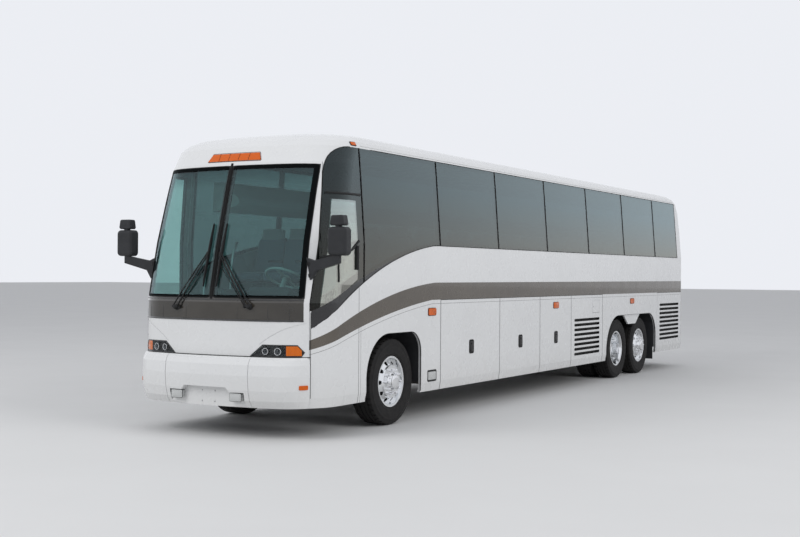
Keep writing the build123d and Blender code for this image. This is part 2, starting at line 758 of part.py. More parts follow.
# Outward-opening side doors below the belt: label, side, front seam, rear seam, grille slots
GRILLE_FRONT = (8, 500, 1130)
GRILLE_REAR = (9, 560, 1300)
SIDE_DOORS = (
    ("left_bay_door_1", 1, BAY_SEAMS[0], BAY_SEAMS[1], None),
    ("left_bay_door_2", 1, BAY_SEAMS[1], BAY_SEAMS[2], None),
    ("left_bay_door_3", 1, BAY_SEAMS[2], BAY_SEAMS[3], None),
    ("right_bay_door_1", -1, BAY_SEAMS[0], BAY_SEAMS[1], None),
    ("right_bay_door_2", -1, BAY_SEAMS[1], BAY_SEAMS[2], None),
    ("right_bay_door_3", -1, BAY_SEAMS[2], BAY_SEAMS[3], None),
    ("condenser_door", 1, BAY_SEAMS[3], CONDENSER_END, GRILLE_FRONT),
    ("battery_door", -1, BAY_SEAMS[3], CONDENSER_END, None),
    ("radiator_door", 1, ARCH_END, REAR_SEAM, GRILLE_REAR),
    ("engine_side_door", -1, ARCH_END, REAR_SEAM, GRILLE_REAR),
)

# Each luggage door has a paddle in a rounded recess, the condenser door a small flap outlined by a groove,
# and the third luggage door a raised marker
HANDLE = (150, 190)
HANDLE_Z = 855
HANDLE_ROUND = 32
HANDLE_DEPTH = 20
PADDLE = (112, 150)
FLAP = (320, 215)
FLAP_PLACE = (1880, 1302)
FLAP_GROOVE = 5
MARKER = (200, 87)
MARKER_ROUND = 20
LAMP_PROUD = 12
DOOR_MARKER = (111, 1355)
GRILLE_SHARE = 0.8

for label, side, start, end, grille in SIDE_DOORS:
    middle = (start + end) / 2
    skin = Plane.YZ.offset(side * HALF_WIDTH)
    with BuildPart() as door:
        with Locations((side * REACH, middle, BELT - 2 * GAP)):
            Box(REACH, end - start - 2 * GAP, FAR, align=(Align.CENTER, Align.CENTER, Align.MAX))
        add(shell.part, mode=Mode.INTERSECT)
        if grille:
            with BuildSketch(Plane.YZ.offset(side * (HALF_WIDTH + GAP))):
                add(louvre_slots(middle, (end - start) * GRILLE_SHARE, *grille))
            extrude(amount=2 * WALL, dir=(-side, 0, LOUVRE_SLOPE), mode=Mode.SUBTRACT)
        else:
            with BuildSketch(skin):
                with Locations((middle, HANDLE_Z)):
                    RectangleRounded(*HANDLE, HANDLE_ROUND)
                    RectangleRounded(*PADDLE, HANDLE_ROUND / 2, mode=Mode.SUBTRACT)
            extrude(amount=-side * HANDLE_DEPTH, mode=Mode.SUBTRACT)
        if label == "condenser_door":
            with BuildSketch(skin):
                with Locations(FLAP_PLACE):
                    Rectangle(*FLAP)
                    Rectangle(FLAP[0] - 2 * FLAP_GROOVE, FLAP[1] - 2 * FLAP_GROOVE, mode=Mode.SUBTRACT)
            extrude(amount=-side * FLAP_GROOVE, mode=Mode.SUBTRACT)
        if label.endswith("_bay_door_3"):
            with BuildSketch(skin):
                with Locations(DOOR_MARKER):
                    RectangleRounded(*MARKER, MARKER_ROUND)
            extrude(amount=side * LAMP_PROUD)
    finish(door, label)

# Entrance door on the right, with one large pane
DOOR_BOTTOM = SKIRT_BOTTOM
DOOR_FRAME = 80
DOOR_GLASS_BOTTOM = 1150

with BuildSketch() as door_face:
    with BuildLine():
        Polyline(
            (SEAM_FRONT, DOOR_BOTTOM),
            (SEAM_FRONT, BELT),
            (seam_y(DOOR_TOP), DOOR_TOP),
            (SEAM_DOOR - DOOR_REAR_GAP, DOOR_TOP),
            (SEAM_DOOR - DOOR_REAR_GAP, DOOR_BOTTOM),
            close=True,
        )
    make_face()

with BuildSketch() as door_pane:
    add(door_face.sketch)
    offset(amount=-DOOR_FRAME, kind=Kind.INTERSECTION, mode=Mode.REPLACE)
    with Locations((SEAM_DOOR, DOOR_GLASS_BOTTOM)):
        Rectangle(FAR, FAR, align=(Align.CENTER, Align.MAX), mode=Mode.SUBTRACT)

with BuildPart() as entrance_glass:
    with BuildSketch(Plane.YZ):
        add(door_pane.sketch)
    extrude(amount=-REACH)
    add(glass_layer.part, mode=Mode.INTERSECT)
finish(entrance_glass, "entrance_glass")

with BuildPart() as entrance_door:
    with BuildSketch(Plane.YZ):
        add(door_face.sketch)
    extrude(amount=-REACH)
    add(shell.part, mode=Mode.INTERSECT)
    add(entrance_glass.part, mode=Mode.SUBTRACT)
    with BuildSketch(Plane.YZ):
        add(door_pane.sketch)
        offset(amount=-SCREEN_REBATE, kind=Kind.INTERSECTION, mode=Mode.REPLACE)
    extrude(amount=-REACH, mode=Mode.SUBTRACT)
finish(entrance_door, "entrance_door")

# Cabin floor: passenger deck and cockpit deck, side rails and entrance steps
DECK_HALF = 1248
RAIL_FOOT = 1205
RAIL_RISE = 60
DECK_END = 6780
STEP_INNER = -560
STEP_FRONT = -6270
STEP_RISE = 220
STEP_GOING = 230
STEP_DEPTH = SEAM_DOOR - 10 - STEP_FRONT

with BuildPart() as cabin_floor:
    with Locations((0, CAP_SEAM, FLOOR_TOP)):
        Box(
            2 * DECK_HALF,
            DECK_END - CAP_SEAM,
            FLOOR_THICK,
            align=(Align.CENTER, Align.MIN, Align.MAX),
        )
    with BuildSketch(Plane.YZ.offset(STEP_INNER)):
        with BuildLine():
            Polyline(
                (FRONT, COCKPIT_FLOOR - FLOOR_THICK),
                (FRONT, COCKPIT_FLOOR),
                (CAP_SEAM, COCKPIT_FLOOR),
                (CAP_SEAM, FLOOR_TOP),
                (CAP_SEAM + FLOOR_THICK, FLOOR_TOP),
                (CAP_SEAM + FLOOR_THICK, COCKPIT_FLOOR - FLOOR_THICK),
                close=True,
            )
        make_face()
    extrude(amount=HALF_WIDTH - STEP_INNER)
    add(inner_form, mode=Mode.INTERSECT)
finish(cabin_floor, "cabin_floor")

with BuildPart() as floor_rails:
    with BuildSketch(Plane.XZ.offset(-CAP_SEAM)):
        with BuildLine():
            Polyline(
                (RAIL_FOOT, FLOOR_TOP),
                (DECK_HALF, FLOOR_TOP),
                (DECK_HALF, BELT + GAP),
                (HALF_WIDTH - WALL, BELT + GAP),
                (HALF_WIDTH - WALL, BELT + RAIL_RISE),
                (RAIL_FOOT, BELT + RAIL_RISE),
                close=True,
            )
        make_face()
        mirror(about=Plane.YZ)
    extrude(amount=CAP_SEAM - DECK_END)
    add(inner_form, mode=Mode.INTERSECT)
finish(floor_rails, "floor_rails")

# Entrance steps, hung from the edge of the cockpit deck
STEP_OUTER = -1230
STEP_PLATE = 40
STEP_COUNT = 3

with BuildPart() as entrance_steps:
    for step in range(STEP_COUNT):
        tread_edge = STEP_INNER - step * STEP_GOING
        tread_end = STEP_OUTER if step == STEP_COUNT - 1 else tread_edge - STEP_GOING
        tread_top = COCKPIT_FLOOR - (step + 1) * STEP_RISE
        tread_middle = (tread_edge + tread_end) / 2
        riser_rise = STEP_RISE + STEP_PLATE if step else STEP_RISE + STEP_PLATE - FLOOR_THICK
        with Locations((tread_middle, STEP_FRONT, tread_top)):
            Box(tread_edge - tread_end, STEP_DEPTH, STEP_PLATE, align=(Align.CENTER, Align.MIN, Align.MAX))
        with Locations((tread_edge, STEP_FRONT, tread_top - STEP_PLATE)):
            Box(STEP_PLATE, STEP_DEPTH, riser_rise, align=(Align.MIN, Align.MIN, Align.MIN))
    add(inner_form, mode=Mode.INTERSECT)
finish(entrance_steps, "entrance_steps")

# Luggage bay floor with its bulkheads, then the frame rails, posts and cross member
BAY_HALF = 1230
BULKHEAD = 30
POST = 40
BULKHEADS = (BAY_SEAMS[0] + BULKHEAD / 2, *BAY_SEAMS[1:], CONDENSER_END - BULKHEAD / 2)
DECK_UNDER = FLOOR_TOP - FLOOR_THICK
POST_INSET = 45
PANEL_POSTS = (
    (SEAM_DOOR + POST_INSET, COCKPIT_FLOOR - FLOOR_THICK),
    (BAY_SEAMS[0] - POST_INSET, DECK_UNDER),
    (CONDENSER_END + POST_INSET, DECK_UNDER),
    (ARCH_END - POST_INSET, DECK_UNDER),
)
RAIL_POSTS = (-5560, -4200, 2600, 4900, 6550)
RAIL_START = FRONT_FACE + 100
BUMPER_BRACKET = 180
BUMPER_BRACKET_Y = FRONT + 140
HANGER = 50
REAR_MEMBER = (1400, 240, 80)
REAR_MEMBER_Y = REAR_SEAM + 60

with BuildPart() as luggage_floor:
    with Locations((0, (BAY_SEAMS[0] + CONDENSER_END) / 2, BAY_FLOOR_TOP)):
        Box(
            2 * BAY_HALF,
            CONDENSER_END - BAY_SEAMS[0],
            FLOOR_THICK,
            align=(Align.CENTER, Align.CENTER, Align.MAX),
        )
    with Locations([(0, station, (BAY_FLOOR_TOP + DECK_UNDER) / 2) for station in BULKHEADS]):
        Box(2 * BAY_HALF, BULKHEAD, DECK_UNDER - BAY_FLOOR_TOP)
finish(luggage_floor, "luggage_floor")

with BuildPart() as underframe:
    for side in (-1, 1):
        rail_x = side * (RAIL_INNER + RAIL_WIDTH / 2)
        for start, end in ((RAIL_START, BAY_SEAMS[0]), (CONDENSER_END, DECK_END)):
            with Locations((rail_x, (start + end) / 2, (RAIL_BOTTOM + RAIL_TOP) / 2)):
                Box(RAIL_WIDTH, end - start, RAIL_TOP - RAIL_BOTTOM)
        with Locations([(rail_x, station, (RAIL_TOP + DECK_UNDER) / 2) for station in RAIL_POSTS]):
            Box(RAIL_WIDTH, RAIL_WIDTH, DECK_UNDER - RAIL_TOP)
        with Locations((rail_x, REAR_SEAM, (SKIRT_CREASE + RAIL_BOTTOM) / 2)):
            Box(RAIL_WIDTH, HANGER, RAIL_BOTTOM - SKIRT_CREASE)
    with Locations((0, REAR_MEMBER_Y, SKIRT_CREASE)):
        Box(*REAR_MEMBER)
    add(inner_form, mode=Mode.INTERSECT)
    for side in (-1, 1):
        rail_x = side * (RAIL_INNER + RAIL_WIDTH / 2)
        with Locations((rail_x, BUMPER_BRACKET_Y, (RAIL_BOTTOM + RAIL_TOP) / 2)):
            Box(RAIL_WIDTH, BUMPER_BRACKET, RAIL_TOP - RAIL_BOTTOM)
        for station, top in PANEL_POSTS:
            with Locations((side * (HALF_WIDTH - WALL - POST / 2), station, (SKIRT_CREASE + top) / 2)):
                Box(POST, POST, top - SKIRT_CREASE)
    add(front_bumper.part, mode=Mode.SUBTRACT)
finish(underframe, "underframe")

# Engine and gearbox as one block between the rails
ENGINE_MIDDLE = (0, 5800, 880)
ENGINE_LENGTH = 1300
ENGINE_HEIGHT = 820

with BuildPart() as engine:
    with Locations(ENGINE_MIDDLE):
        Box(2 * RAIL_INNER, ENGINE_LENGTH, ENGINE_HEIGHT)
finish(engine, "engine")

# Axles: the steered beam with its kingpins, the drive axle and the tag axle
BEAM = 80
KINGPIN = 22
EYE = 38
EYE_HALF = 55
FORK_GAP = 8
FORK = 50
AIR_SPRING = 105
DRIVE_TUBE = 85
DRIVE_TUBE_HALF = 560
DIFFERENTIAL = 190
DIFFERENTIAL_LENGTH = 300
TAG_TUBE = 55
TAG_TUBE_HALF = 880
TAG_SPINDLE_END = WHEEL_X + 140

with BuildPart() as axles:
    with Locations((0, AXLE_FRONT, TYRE_RADIUS)):
        Box(2 * (KINGPIN_X - BEAM / 4), BEAM, BEAM)
    for side in (-1, 1):
        with Locations((side * KINGPIN_X, AXLE_FRONT, TYRE_RADIUS)):
            Cylinder(EYE, 2 * EYE_HALF)
            Cylinder(KINGPIN, 2 * (EYE_HALF + FORK_GAP + FORK))
    with Locations(Location((0, AXLE_DRIVE, TYRE_RADIUS), (0, 90, 0))):
        Cylinder(DRIVE_TUBE, 2 * DRIVE_TUBE_HALF)
        Cylinder(SPINDLE, 2 * (WHEEL_X - 5))
    with Locations(Location((0, AXLE_DRIVE, TYRE_RADIUS), (90, 0, 0))):
        Cylinder(DIFFERENTIAL, DIFFERENTIAL_LENGTH)
    with Locations(Location((0, AXLE_TAG, TYRE_RADIUS), (0, 90, 0))):
        Cylinder(TAG_TUBE, 2 * TAG_TUBE_HALF)
        Cylinder(SPINDLE, 2 * TAG_SPINDLE_END)
    for station in (AXLE_FRONT, AXLE_DRIVE, AXLE_TAG):
        for side in (-1, 1):
            with Locations((side * (RAIL_INNER + RAIL_WIDTH / 2), station, TYRE_RADIUS)):
                Cylinder(AIR_SPRING, RAIL_BOTTOM - TYRE_RADIUS, align=(Align.CENTER, Align.CENTER, Align.MIN))
finish(axles, "axles")

YOKE_WEB = 28
YOKE_WEB_X = 62
SPINDLE_START = 60
SPINDLE_LENGTH = 190

for label, side in (("left_knuckle", 1), ("right_knuckle", -1)):
    with BuildPart() as knuckle:
        pin = (side * KINGPIN_X, AXLE_FRONT)
        for level in (-1, 1):
            centre = TYRE_RADIUS + level * (EYE_HALF + FORK_GAP + FORK / 2)
            with Locations((*pin, centre)):
                Cylinder(EYE, FORK)
            with Locations((pin[0] + side * EYE, pin[1], centre)):
                Box(2 * EYE, 2 * EYE, FORK)
        with Locations((pin[0] + side * YOKE_WEB_X, pin[1], TYRE_RADIUS)):
            Box(YOKE_WEB, 2 * EYE, 2 * (EYE_HALF + FORK_GAP + FORK))
        spindle_x = pin[0] + side * (SPINDLE_START + SPINDLE_LENGTH / 2)
        with Locations(Location((spindle_x, pin[1], TYRE_RADIUS), (0, 90, 0))):
            Cylinder(SPINDLE, SPINDLE_LENGTH)
        with Locations((*pin, TYRE_RADIUS)):
            Cylinder(KINGPIN + HUB_CLEARANCE, THROUGH, mode=Mode.SUBTRACT)
    finish(knuckle, label)

# Tyre and wheel sections: distance from the wheel's middle, radius
TYRE_HALF = TYRE_WIDTH / 2
TYRE_SECTION = (
    (110, BEAD_RADIUS),
    (115, RIM_FLANGE + 2),
    (130, RIM_FLANGE + 10),
    (TYRE_HALF, 405),
    (TYRE_HALF - 12, 490),
    (TYRE_HALF - 38, TYRE_RADIUS - 3),
    (0, TYRE_RADIUS),
    (38 - TYRE_HALF, TYRE_RADIUS - 3),
    (12 - TYRE_HALF, 490),
    (-TYRE_HALF, 405),
    (-130, RIM_FLANGE + 10),
    (-115, RIM_FLANGE + 2),
    (-110, BEAD_RADIUS),
)
BORE = SPINDLE + HUB_CLEARANCE
BARREL_SECTION = (
    (-RIM_HALF_WIDTH, RIM_FLANGE),
    (-RIM_HALF_WIDTH + 10, RIM_FLANGE),
    (-112, BEAD_RADIUS),
    (112, BEAD_RADIUS),
    (RIM_HALF_WIDTH - 10, RIM_FLANGE),
    (RIM_HALF_WIDTH, RIM_FLANGE),
    (126, 284),
    (90, 272),
)
CONVEX_SECTION = BARREL_SECTION + (
    (72, 262),
    (120, 205),
    (138, 196),
    (138, 112),
    (150, 100),
    (190, 80),
    (196, 0),
    (150, 0),
    (150, BORE),
    (40, BORE),
    (40, 95),
    (112, 95),
    (112, 188),
    (98, 198),
    (52, 250),
    (40, 264),
    (-90, 268),
    (-126, 284),
)
DISH_FACE = -DUAL_SPACING / 2
DISH_SECTION = BARREL_SECTION + (
    (-50, 262),
    (-122, 215),
    (DISH_FACE + 22, 190),
    (DISH_FACE + 22, 120),
    (-50, 112),
    (15, 96),
    (20, 0),
    (0, 0),
    (0, BORE),
    (DISH_FACE, BORE),
    (DISH_FACE, 196),
    (-142, 232),
    (-100, 268),
    (-126, 284),
)
INNER_DISH_SECTION = BARREL_SECTION + (
    (-50, 262),
    (-122, 215),
    (DISH_FACE + 22, 190),
    (DISH_FACE + 22, BORE),
    (DISH_FACE, BORE),
    (DISH_FACE, 196),
    (-142, 232),
    (-100, 268),
    (-126, 284),
)


def spun(section, middle, direction):
    """A ring or disc made by spinning a section about the axle line, its outer side towards direction."""
    with BuildPart() as ring:
        with BuildSketch(Plane.XY):
            with BuildLine():
                Polyline(*[(middle + direction * x, r) for x, r in section], close=True)
            make_face()
        revolve(axis=Axis.X)
    return ring.part


def hand_holes(wheel_x):
    """Ring of round hand holes through a wheel disc."""
    with BuildPart() as holes:
        with BuildSketch(Plane.YZ.offset(wheel_x)):
            with PolarLocations(HAND_HOLE_RING, HAND_HOLES):
                Circle(HAND_HOLE)
        extrude(amount=THROUGH / 2, both=True)
    return holes.part


WHEELS = (
    ("front", AXLE_FRONT, False),
    ("drive", AXLE_DRIVE, True),
    ("tag", AXLE_TAG, False),
)

for place, station, dual in WHEELS:
    for side_name, side in (("left", 1), ("right", -1)):
        centre = Location((0, station, TYRE_RADIUS))
        outer_x = side * WHEEL_X
        inner_x = side * (WHEEL_X - DUAL_SPACING)
        with BuildPart() as tyre:
            add(spun(TYRE_SECTION, outer_x, side).moved(centre))
            if dual:
                add(spun(TYRE_SECTION, inner_x, -side).moved(centre))
        finish(tyre, f"{side_name}_{place}_tyre")
        with BuildPart() as wheel:
            if dual:
                add(spun(DISH_SECTION, outer_x, side).moved(centre))
                add(spun(INNER_DISH_SECTION, inner_x, -side).moved(centre))
            else:
                add(spun(CONVEX_SECTION, outer_x, side).moved(centre))
            add(hand_holes(outer_x).moved(centre), mode=Mode.SUBTRACT)
        finish(wheel, f"{side_name}_{place}_wheel")

# Marker and tail lamps standing just proud
proud_form = body_form(-LAMP_PROUD)

MARKER_HALF = 375
MARKER_BOTTOM = 3112
MARKER_TOP = 3200
MARKER_SLANT = 45
SIDE_MARKERS = ((-3985, 1350), (3731, 1363))
EDGE_MARKER = (250, 62)
EDGE_MARKER_PLACE = (-5815, 3318)
CORNER_MARKER = (95, 48)
CORNER_MARKER_PLACE = (-6620, 582)
CORNER_PROUD = 8

with BuildPart() as corner_markers:
    with BuildSketch(Plane.YZ):
        with Locations(CORNER_MARKER_PLACE):
            RectangleRounded(*CORNER_MARKER, CORNER_PROUD)
    extrude(amount=REACH)
    add(bumper_outer.moved(Location((CORNER_PROUD, -CORNER_PROUD, 0))), mode=Mode.INTERSECT)
    add(bumper_outer, mode=Mode.SUBTRACT)
    mirror(about=Plane.YZ)

with BuildPart() as marker_lamps:
    with BuildSketch(Plane.XZ.offset(-CAP_SEAM)):
        with BuildLine():
            Polyline(
                (-MARKER_HALF, MARKER_BOTTOM),
                (-MARKER_HALF + MARKER_SLANT, MARKER_TOP),
                (MARKER_HALF - MARKER_SLANT, MARKER_TOP),
                (MARKER_HALF, MARKER_BOTTOM),
                close=True,
            )
        make_face()
    extrude(amount=CAP_SEAM - FRONT)
    with BuildSketch(Plane.YZ):
        with Locations(EDGE_MARKER_PLACE):
            Rectangle(*EDGE_MARKER)
    extrude(amount=REACH, both=True)
    add(proud_form, mode=Mode.INTERSECT)
    add(outer_form, mode=Mode.SUBTRACT)
    for side in (-1, 1):
        with BuildSketch(Plane.YZ.offset(side * HALF_WIDTH)):
            with Locations(SIDE_MARKERS):
                RectangleRounded(*MARKER, MARKER_ROUND)
        extrude(amount=side * LAMP_PROUD)
    add(corner_markers.part)
finish(marker_lamps, "marker_lamps")

with BuildPart() as small_lamps:
    with BuildSketch(Plane.XZ.offset(-PAD_FACE)):
        with Locations(FOG_LAMP_PLACE, (-FOG_LAMP_PLACE[0], FOG_LAMP_PLACE[1])):
            RectangleRounded(*FOG_LAMP, LAMP_PROUD)
    extrude(amount=FOG_LAMP_DEPTH)
    for side in (-1, 1):
        with BuildSketch(Plane.YZ.offset(side * (HALF_WIDTH - SIDE_LAMP_POCKET))):
            with Locations(SIDE_LAMP_PLACE):
                RectangleRounded(*SIDE_LAMP, LAMP_PROUD)
        extrude(amount=side * (SIDE_LAMP_POCKET + GAP))
finish(small_lamps, "small_lamps")

TAIL_LAMP = (150, 640, 40)
TAIL_LAMP_PLACE = (1040, 1050)

with BuildPart() as tail_lamps:
    with BuildSketch(Plane.XZ.offset(-REAR_SEAM)):
        with Locations(TAIL_LAMP_PLACE, (-TAIL_LAMP_PLACE[0], TAIL_LAMP_PLACE[1])):
            RectangleRounded(*TAIL_LAMP)
    extrude(amount=-(REAR - REAR_SEAM))
    add(proud_form, mode=Mode.INTERSECT)
    add(outer_form, mode=Mode.SUBTRACT)
finish(tail_lamps, "tail_lamps")

# Mirrors: a rounded main housing with a tapered convex one on top, on a wedge-shaped arm from the pillar
MIRROR_X = 1509
MIRROR_Y = -6518
MIRROR_BOTTOM = 2020
MIRROR_TOP = 2332
MIRROR_WIDTH = 240
MIRROR_DEPTH = 120
MIRROR_ROUND = 48
MIRROR_RIM = 14
MIRROR_RECESS = 8
CONVEX_BOTTOM = 2344
CONVEX_TOP = 2458
CONVEX_WIDTH = 190
CONVEX_TAPER = 20
CONVEX_DEPTH = 100
CONVEX_ROUND = 24
NECK_RADIUS = 38
ARM_ROOT = (1075, -6478)
ARM_THICK = 50
ARM_PROFILE = ((0, 1755), (0, 2004), (95, 1966), (455, 2030), (455, 1936), (130, 1852), (70, 1755))


def mirror_housing(outline, depth, edge):
    """A housing with a bulged front and a mirror recess in its back."""
    with BuildPart() as housing:
        with BuildSketch(Plane.XZ.offset(-MIRROR_Y - depth / 2)):
            add(outline)
        extrude(amount=depth)
        fillet(housing.faces().sort_by(Axis.Y)[0].edges(), edge)
        with BuildSketch(Plane.XZ.offset(-MIRROR_Y - depth / 2)):
            add(outline)
            offset(amount=-MIRROR_RIM, mode=Mode.REPLACE)
        extrude(amount=MIRROR_RECESS, mode=Mode.SUBTRACT)
    return housing.part


with BuildSketch() as main_outline:
    with Locations((MIRROR_X, (MIRROR_BOTTOM + MIRROR_TOP) / 2)):
        RectangleRounded(MIRROR_WIDTH, MIRROR_TOP - MIRROR_BOTTOM, MIRROR_ROUND)

with BuildSketch() as convex_outline:
    with BuildLine():
        Polyline(
            (MIRROR_X - CONVEX_WIDTH / 2, CONVEX_BOTTOM),
            (MIRROR_X + CONVEX_WIDTH / 2, CONVEX_BOTTOM),
            (MIRROR_X + CONVEX_WIDTH / 2 - CONVEX_TAPER, CONVEX_TOP),
            (MIRROR_X - CONVEX_WIDTH / 2 + CONVEX_TAPER, CONVEX_TOP),
            close=True,
        )
    make_face()
    fillet(convex_outline.vertices(), CONVEX_ROUND)

arm_run = Vector(MIRROR_X - ARM_ROOT[0], MIRROR_Y - ARM_ROOT[1], 0)

with BuildPart() as mirrors:
    add(mirror_housing(main_outline.sketch, MIRROR_DEPTH, 0.8 * MIRROR_ROUND))
    add(mirror_housing(convex_outline.sketch, CONVEX_DEPTH, 0.8 * CONVEX_ROUND))
    with Locations((MIRROR_X, MIRROR_Y, (MIRROR_TOP + CONVEX_BOTTOM) / 2)):
        Cylinder(NECK_RADIUS, 3 * (CONVEX_BOTTOM - MIRROR_TOP))
    with BuildSketch(Plane(origin=(*ARM_ROOT, 0), x_dir=arm_run, z_dir=arm_run.cross(Vector(0, 0, 1)))):
        with BuildLine():
            Polyline(*ARM_PROFILE, close=True)
        make_face()
    extrude(amount=ARM_THICK / 2, both=True)
    mirror(about=Plane.YZ)
    add(outer_form, mode=Mode.SUBTRACT)
finish(mirrors, "mirrors")

# Wipers parked upright beside the centre bar: pivot across, blade across
WIPERS = ((-500, -110), (530, 75))
WIPER_Z = (1430, 1670, 2000, 2390)
WIPER_LIFT = 26
WIPER_ARM = 10
WIPER_BLADE = 11
WIPER_CAP = 28
WIPER_CAP_LENGTH = 60


def screen_y(across, height):
    """Front surface of the mask and windscreen at a point across and up."""
    rows = [row for row in BODY if BELT <= row[0]]
    for low, high in zip(rows, rows[1:]):
        if height <= high[0]:
            break
    share = max(0, (height - low[0]) / (high[0] - low[0]))
    return low[2] + share * (high[2] - low[2]) + across**2 / (2 * FRONT_BOW)


with BuildPart() as wipers:
    for pivot_x, blade_x in WIPERS:
        pivot_z, blade_low, arm_top, blade_high = WIPER_Z
        pivot = (pivot_x, screen_y(pivot_x, pivot_z) - WIPER_LIFT, pivot_z)
        grip = (blade_x, screen_y(blade_x, arm_top) - WIPER_LIFT, arm_top)
        foot = (blade_x, screen_y(blade_x, blade_low) - WIPER_LIFT, blade_low)
        tip = (blade_x, screen_y(blade_x, blade_high) - WIPER_LIFT, blade_high)
        for start, end, radius in ((pivot, grip, WIPER_ARM), (foot, tip, WIPER_BLADE)):
            run = Vector(*end) - Vector(*start)
            with BuildSketch(Plane(origin=start, z_dir=run)):
                Circle(radius)
            extrude(amount=run.length)
        with Locations(Location(pivot, (90, 0, 0))):
            Cylinder(WIPER_CAP, WIPER_CAP_LENGTH)
    add(outer_form, mode=Mode.SUBTRACT)
finish(wipers, "wipers")

# Dashboard with steering column and wheel
DASH_LEFT = -450
DASH_RIGHT = 1050
DASH_PROFILE = (
    (FRONT, 1340),
    (FRONT, 1530),
    (-6500, 1560),
    (-6330, 1480),
    (-6330, 1420),
    (-6450, 1340),
    (-6450, COCKPIT_FLOOR),
    (-6520, COCKPIT_FLOOR),
    (-6520, 1340),
)
DRIVER_X = 650
STEERING_HUB = Plane(origin=(DRIVER_X, -6290, 1770), z_dir=(0, 0.5, 0.87))
COLUMN_LENGTH = 400
COLUMN_RADIUS = 30
HUB_RADIUS = 60
SPOKE = (440, 40)
SPOKE_THICK = 14
STEERING_RADIUS = 225
STEERING_GRIP = 15

with BuildPart() as dashboard:
    with BuildSketch(Plane.YZ.offset(DASH_LEFT)):
        with BuildLine():
            Polyline(*DASH_PROFILE, close=True)
        make_face()
    extrude(amount=DASH_RIGHT - DASH_LEFT)
    add(inner_form, mode=Mode.INTERSECT)
    with BuildSketch(STEERING_HUB.offset(-COLUMN_LENGTH)):
        Circle(COLUMN_RADIUS)
    extrude(amount=COLUMN_LENGTH)
    with BuildSketch(STEERING_HUB):
        Circle(HUB_RADIUS)
        Rectangle(*SPOKE)
    extrude(amount=SPOKE_THICK)
    with Locations(STEERING_HUB):
        Torus(STEERING_RADIUS, STEERING_GRIP)
finish(dashboard, "dashboard")

# Seats: the driver's and rows of pairs either side of the aisle
SEAT_PITCH = 860
SEAT_ROWS = 13
SEAT_FIRST = -4900
SEAT_WIDTH = 900
SEAT_X = 725
CUSHION_HEIGHT = 460
CUSHION_DEPTH = 430
CUSHION_THICK = 130
BACK_TOP = 2420
BACK_RAKE = 130
BACK_THICK = 90
FOOT = (150, 350)
DRIVER_SEAT_WIDTH = 500
DRIVER_SEAT_FRONT = -6080
DRIVER_CUSHION_HEIGHT = 480
DRIVER_BACK_TOP = 2150


def seat_profile(floor, front, cushion, back_top):
    """A seat seen from the side, facing -Y: foot, cushion and raked back in one outline."""
    top = floor + cushion
    hinge = front + CUSHION_DEPTH
    with BuildSketch() as profile:
        with BuildLine():
            Polyline(
                (front + FOOT[0], floor),
                (front + FOOT[0], top - CUSHION_THICK),
                (front, top - CUSHION_THICK + 30),
                (front, top),
                (hinge, top - 20),
                (hinge + BACK_RAKE, back_top),
                (hinge + BACK_RAKE + BACK_THICK, back_top),
                (hinge + BACK_THICK + 20, top - CUSHION_THICK),
                (front + FOOT[1], top - CUSHION_THICK - 20),
                (front + FOOT[1], floor),
                close=True,
            )
        make_face()
    return profile.sketch


with BuildPart() as seats:
    with BuildSketch(Plane.YZ.offset(SEAT_X - SEAT_WIDTH / 2)):
        for row in range(SEAT_ROWS):
            add(seat_profile(FLOOR_TOP, SEAT_FIRST + row * SEAT_PITCH, CUSHION_HEIGHT, BACK_TOP))
    extrude(amount=SEAT_WIDTH)
    mirror(about=Plane.YZ)
    with BuildSketch(Plane.YZ.offset(DRIVER_X - DRIVER_SEAT_WIDTH / 2)):
        add(seat_profile(COCKPIT_FLOOR, DRIVER_SEAT_FRONT, DRIVER_CUSHION_HEIGHT, DRIVER_BACK_TOP))
    extrude(amount=DRIVER_SEAT_WIDTH)
finish(seats, "seats")
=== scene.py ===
"""The looks of a three-axle highway coach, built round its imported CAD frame. Metres, front towards -Y."""

import math

import bmesh
import bpy
from mathutils import Matrix, Vector
from mathutils.bvhtree import BVHTree


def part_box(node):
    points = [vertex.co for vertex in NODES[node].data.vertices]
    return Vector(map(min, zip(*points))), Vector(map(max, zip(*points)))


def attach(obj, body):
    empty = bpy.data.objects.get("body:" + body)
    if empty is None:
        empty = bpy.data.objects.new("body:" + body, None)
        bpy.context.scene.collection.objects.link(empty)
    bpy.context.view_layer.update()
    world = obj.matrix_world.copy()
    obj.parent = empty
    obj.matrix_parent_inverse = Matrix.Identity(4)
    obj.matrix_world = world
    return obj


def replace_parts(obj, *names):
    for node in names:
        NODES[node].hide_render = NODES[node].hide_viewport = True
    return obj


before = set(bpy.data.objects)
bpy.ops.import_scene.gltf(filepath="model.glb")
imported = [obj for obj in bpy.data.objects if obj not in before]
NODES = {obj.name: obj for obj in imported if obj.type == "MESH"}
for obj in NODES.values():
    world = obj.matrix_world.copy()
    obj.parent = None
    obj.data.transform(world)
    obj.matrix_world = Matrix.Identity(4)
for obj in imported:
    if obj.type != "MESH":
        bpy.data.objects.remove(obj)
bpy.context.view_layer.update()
SIDES = (("left", 1), ("right", -1))

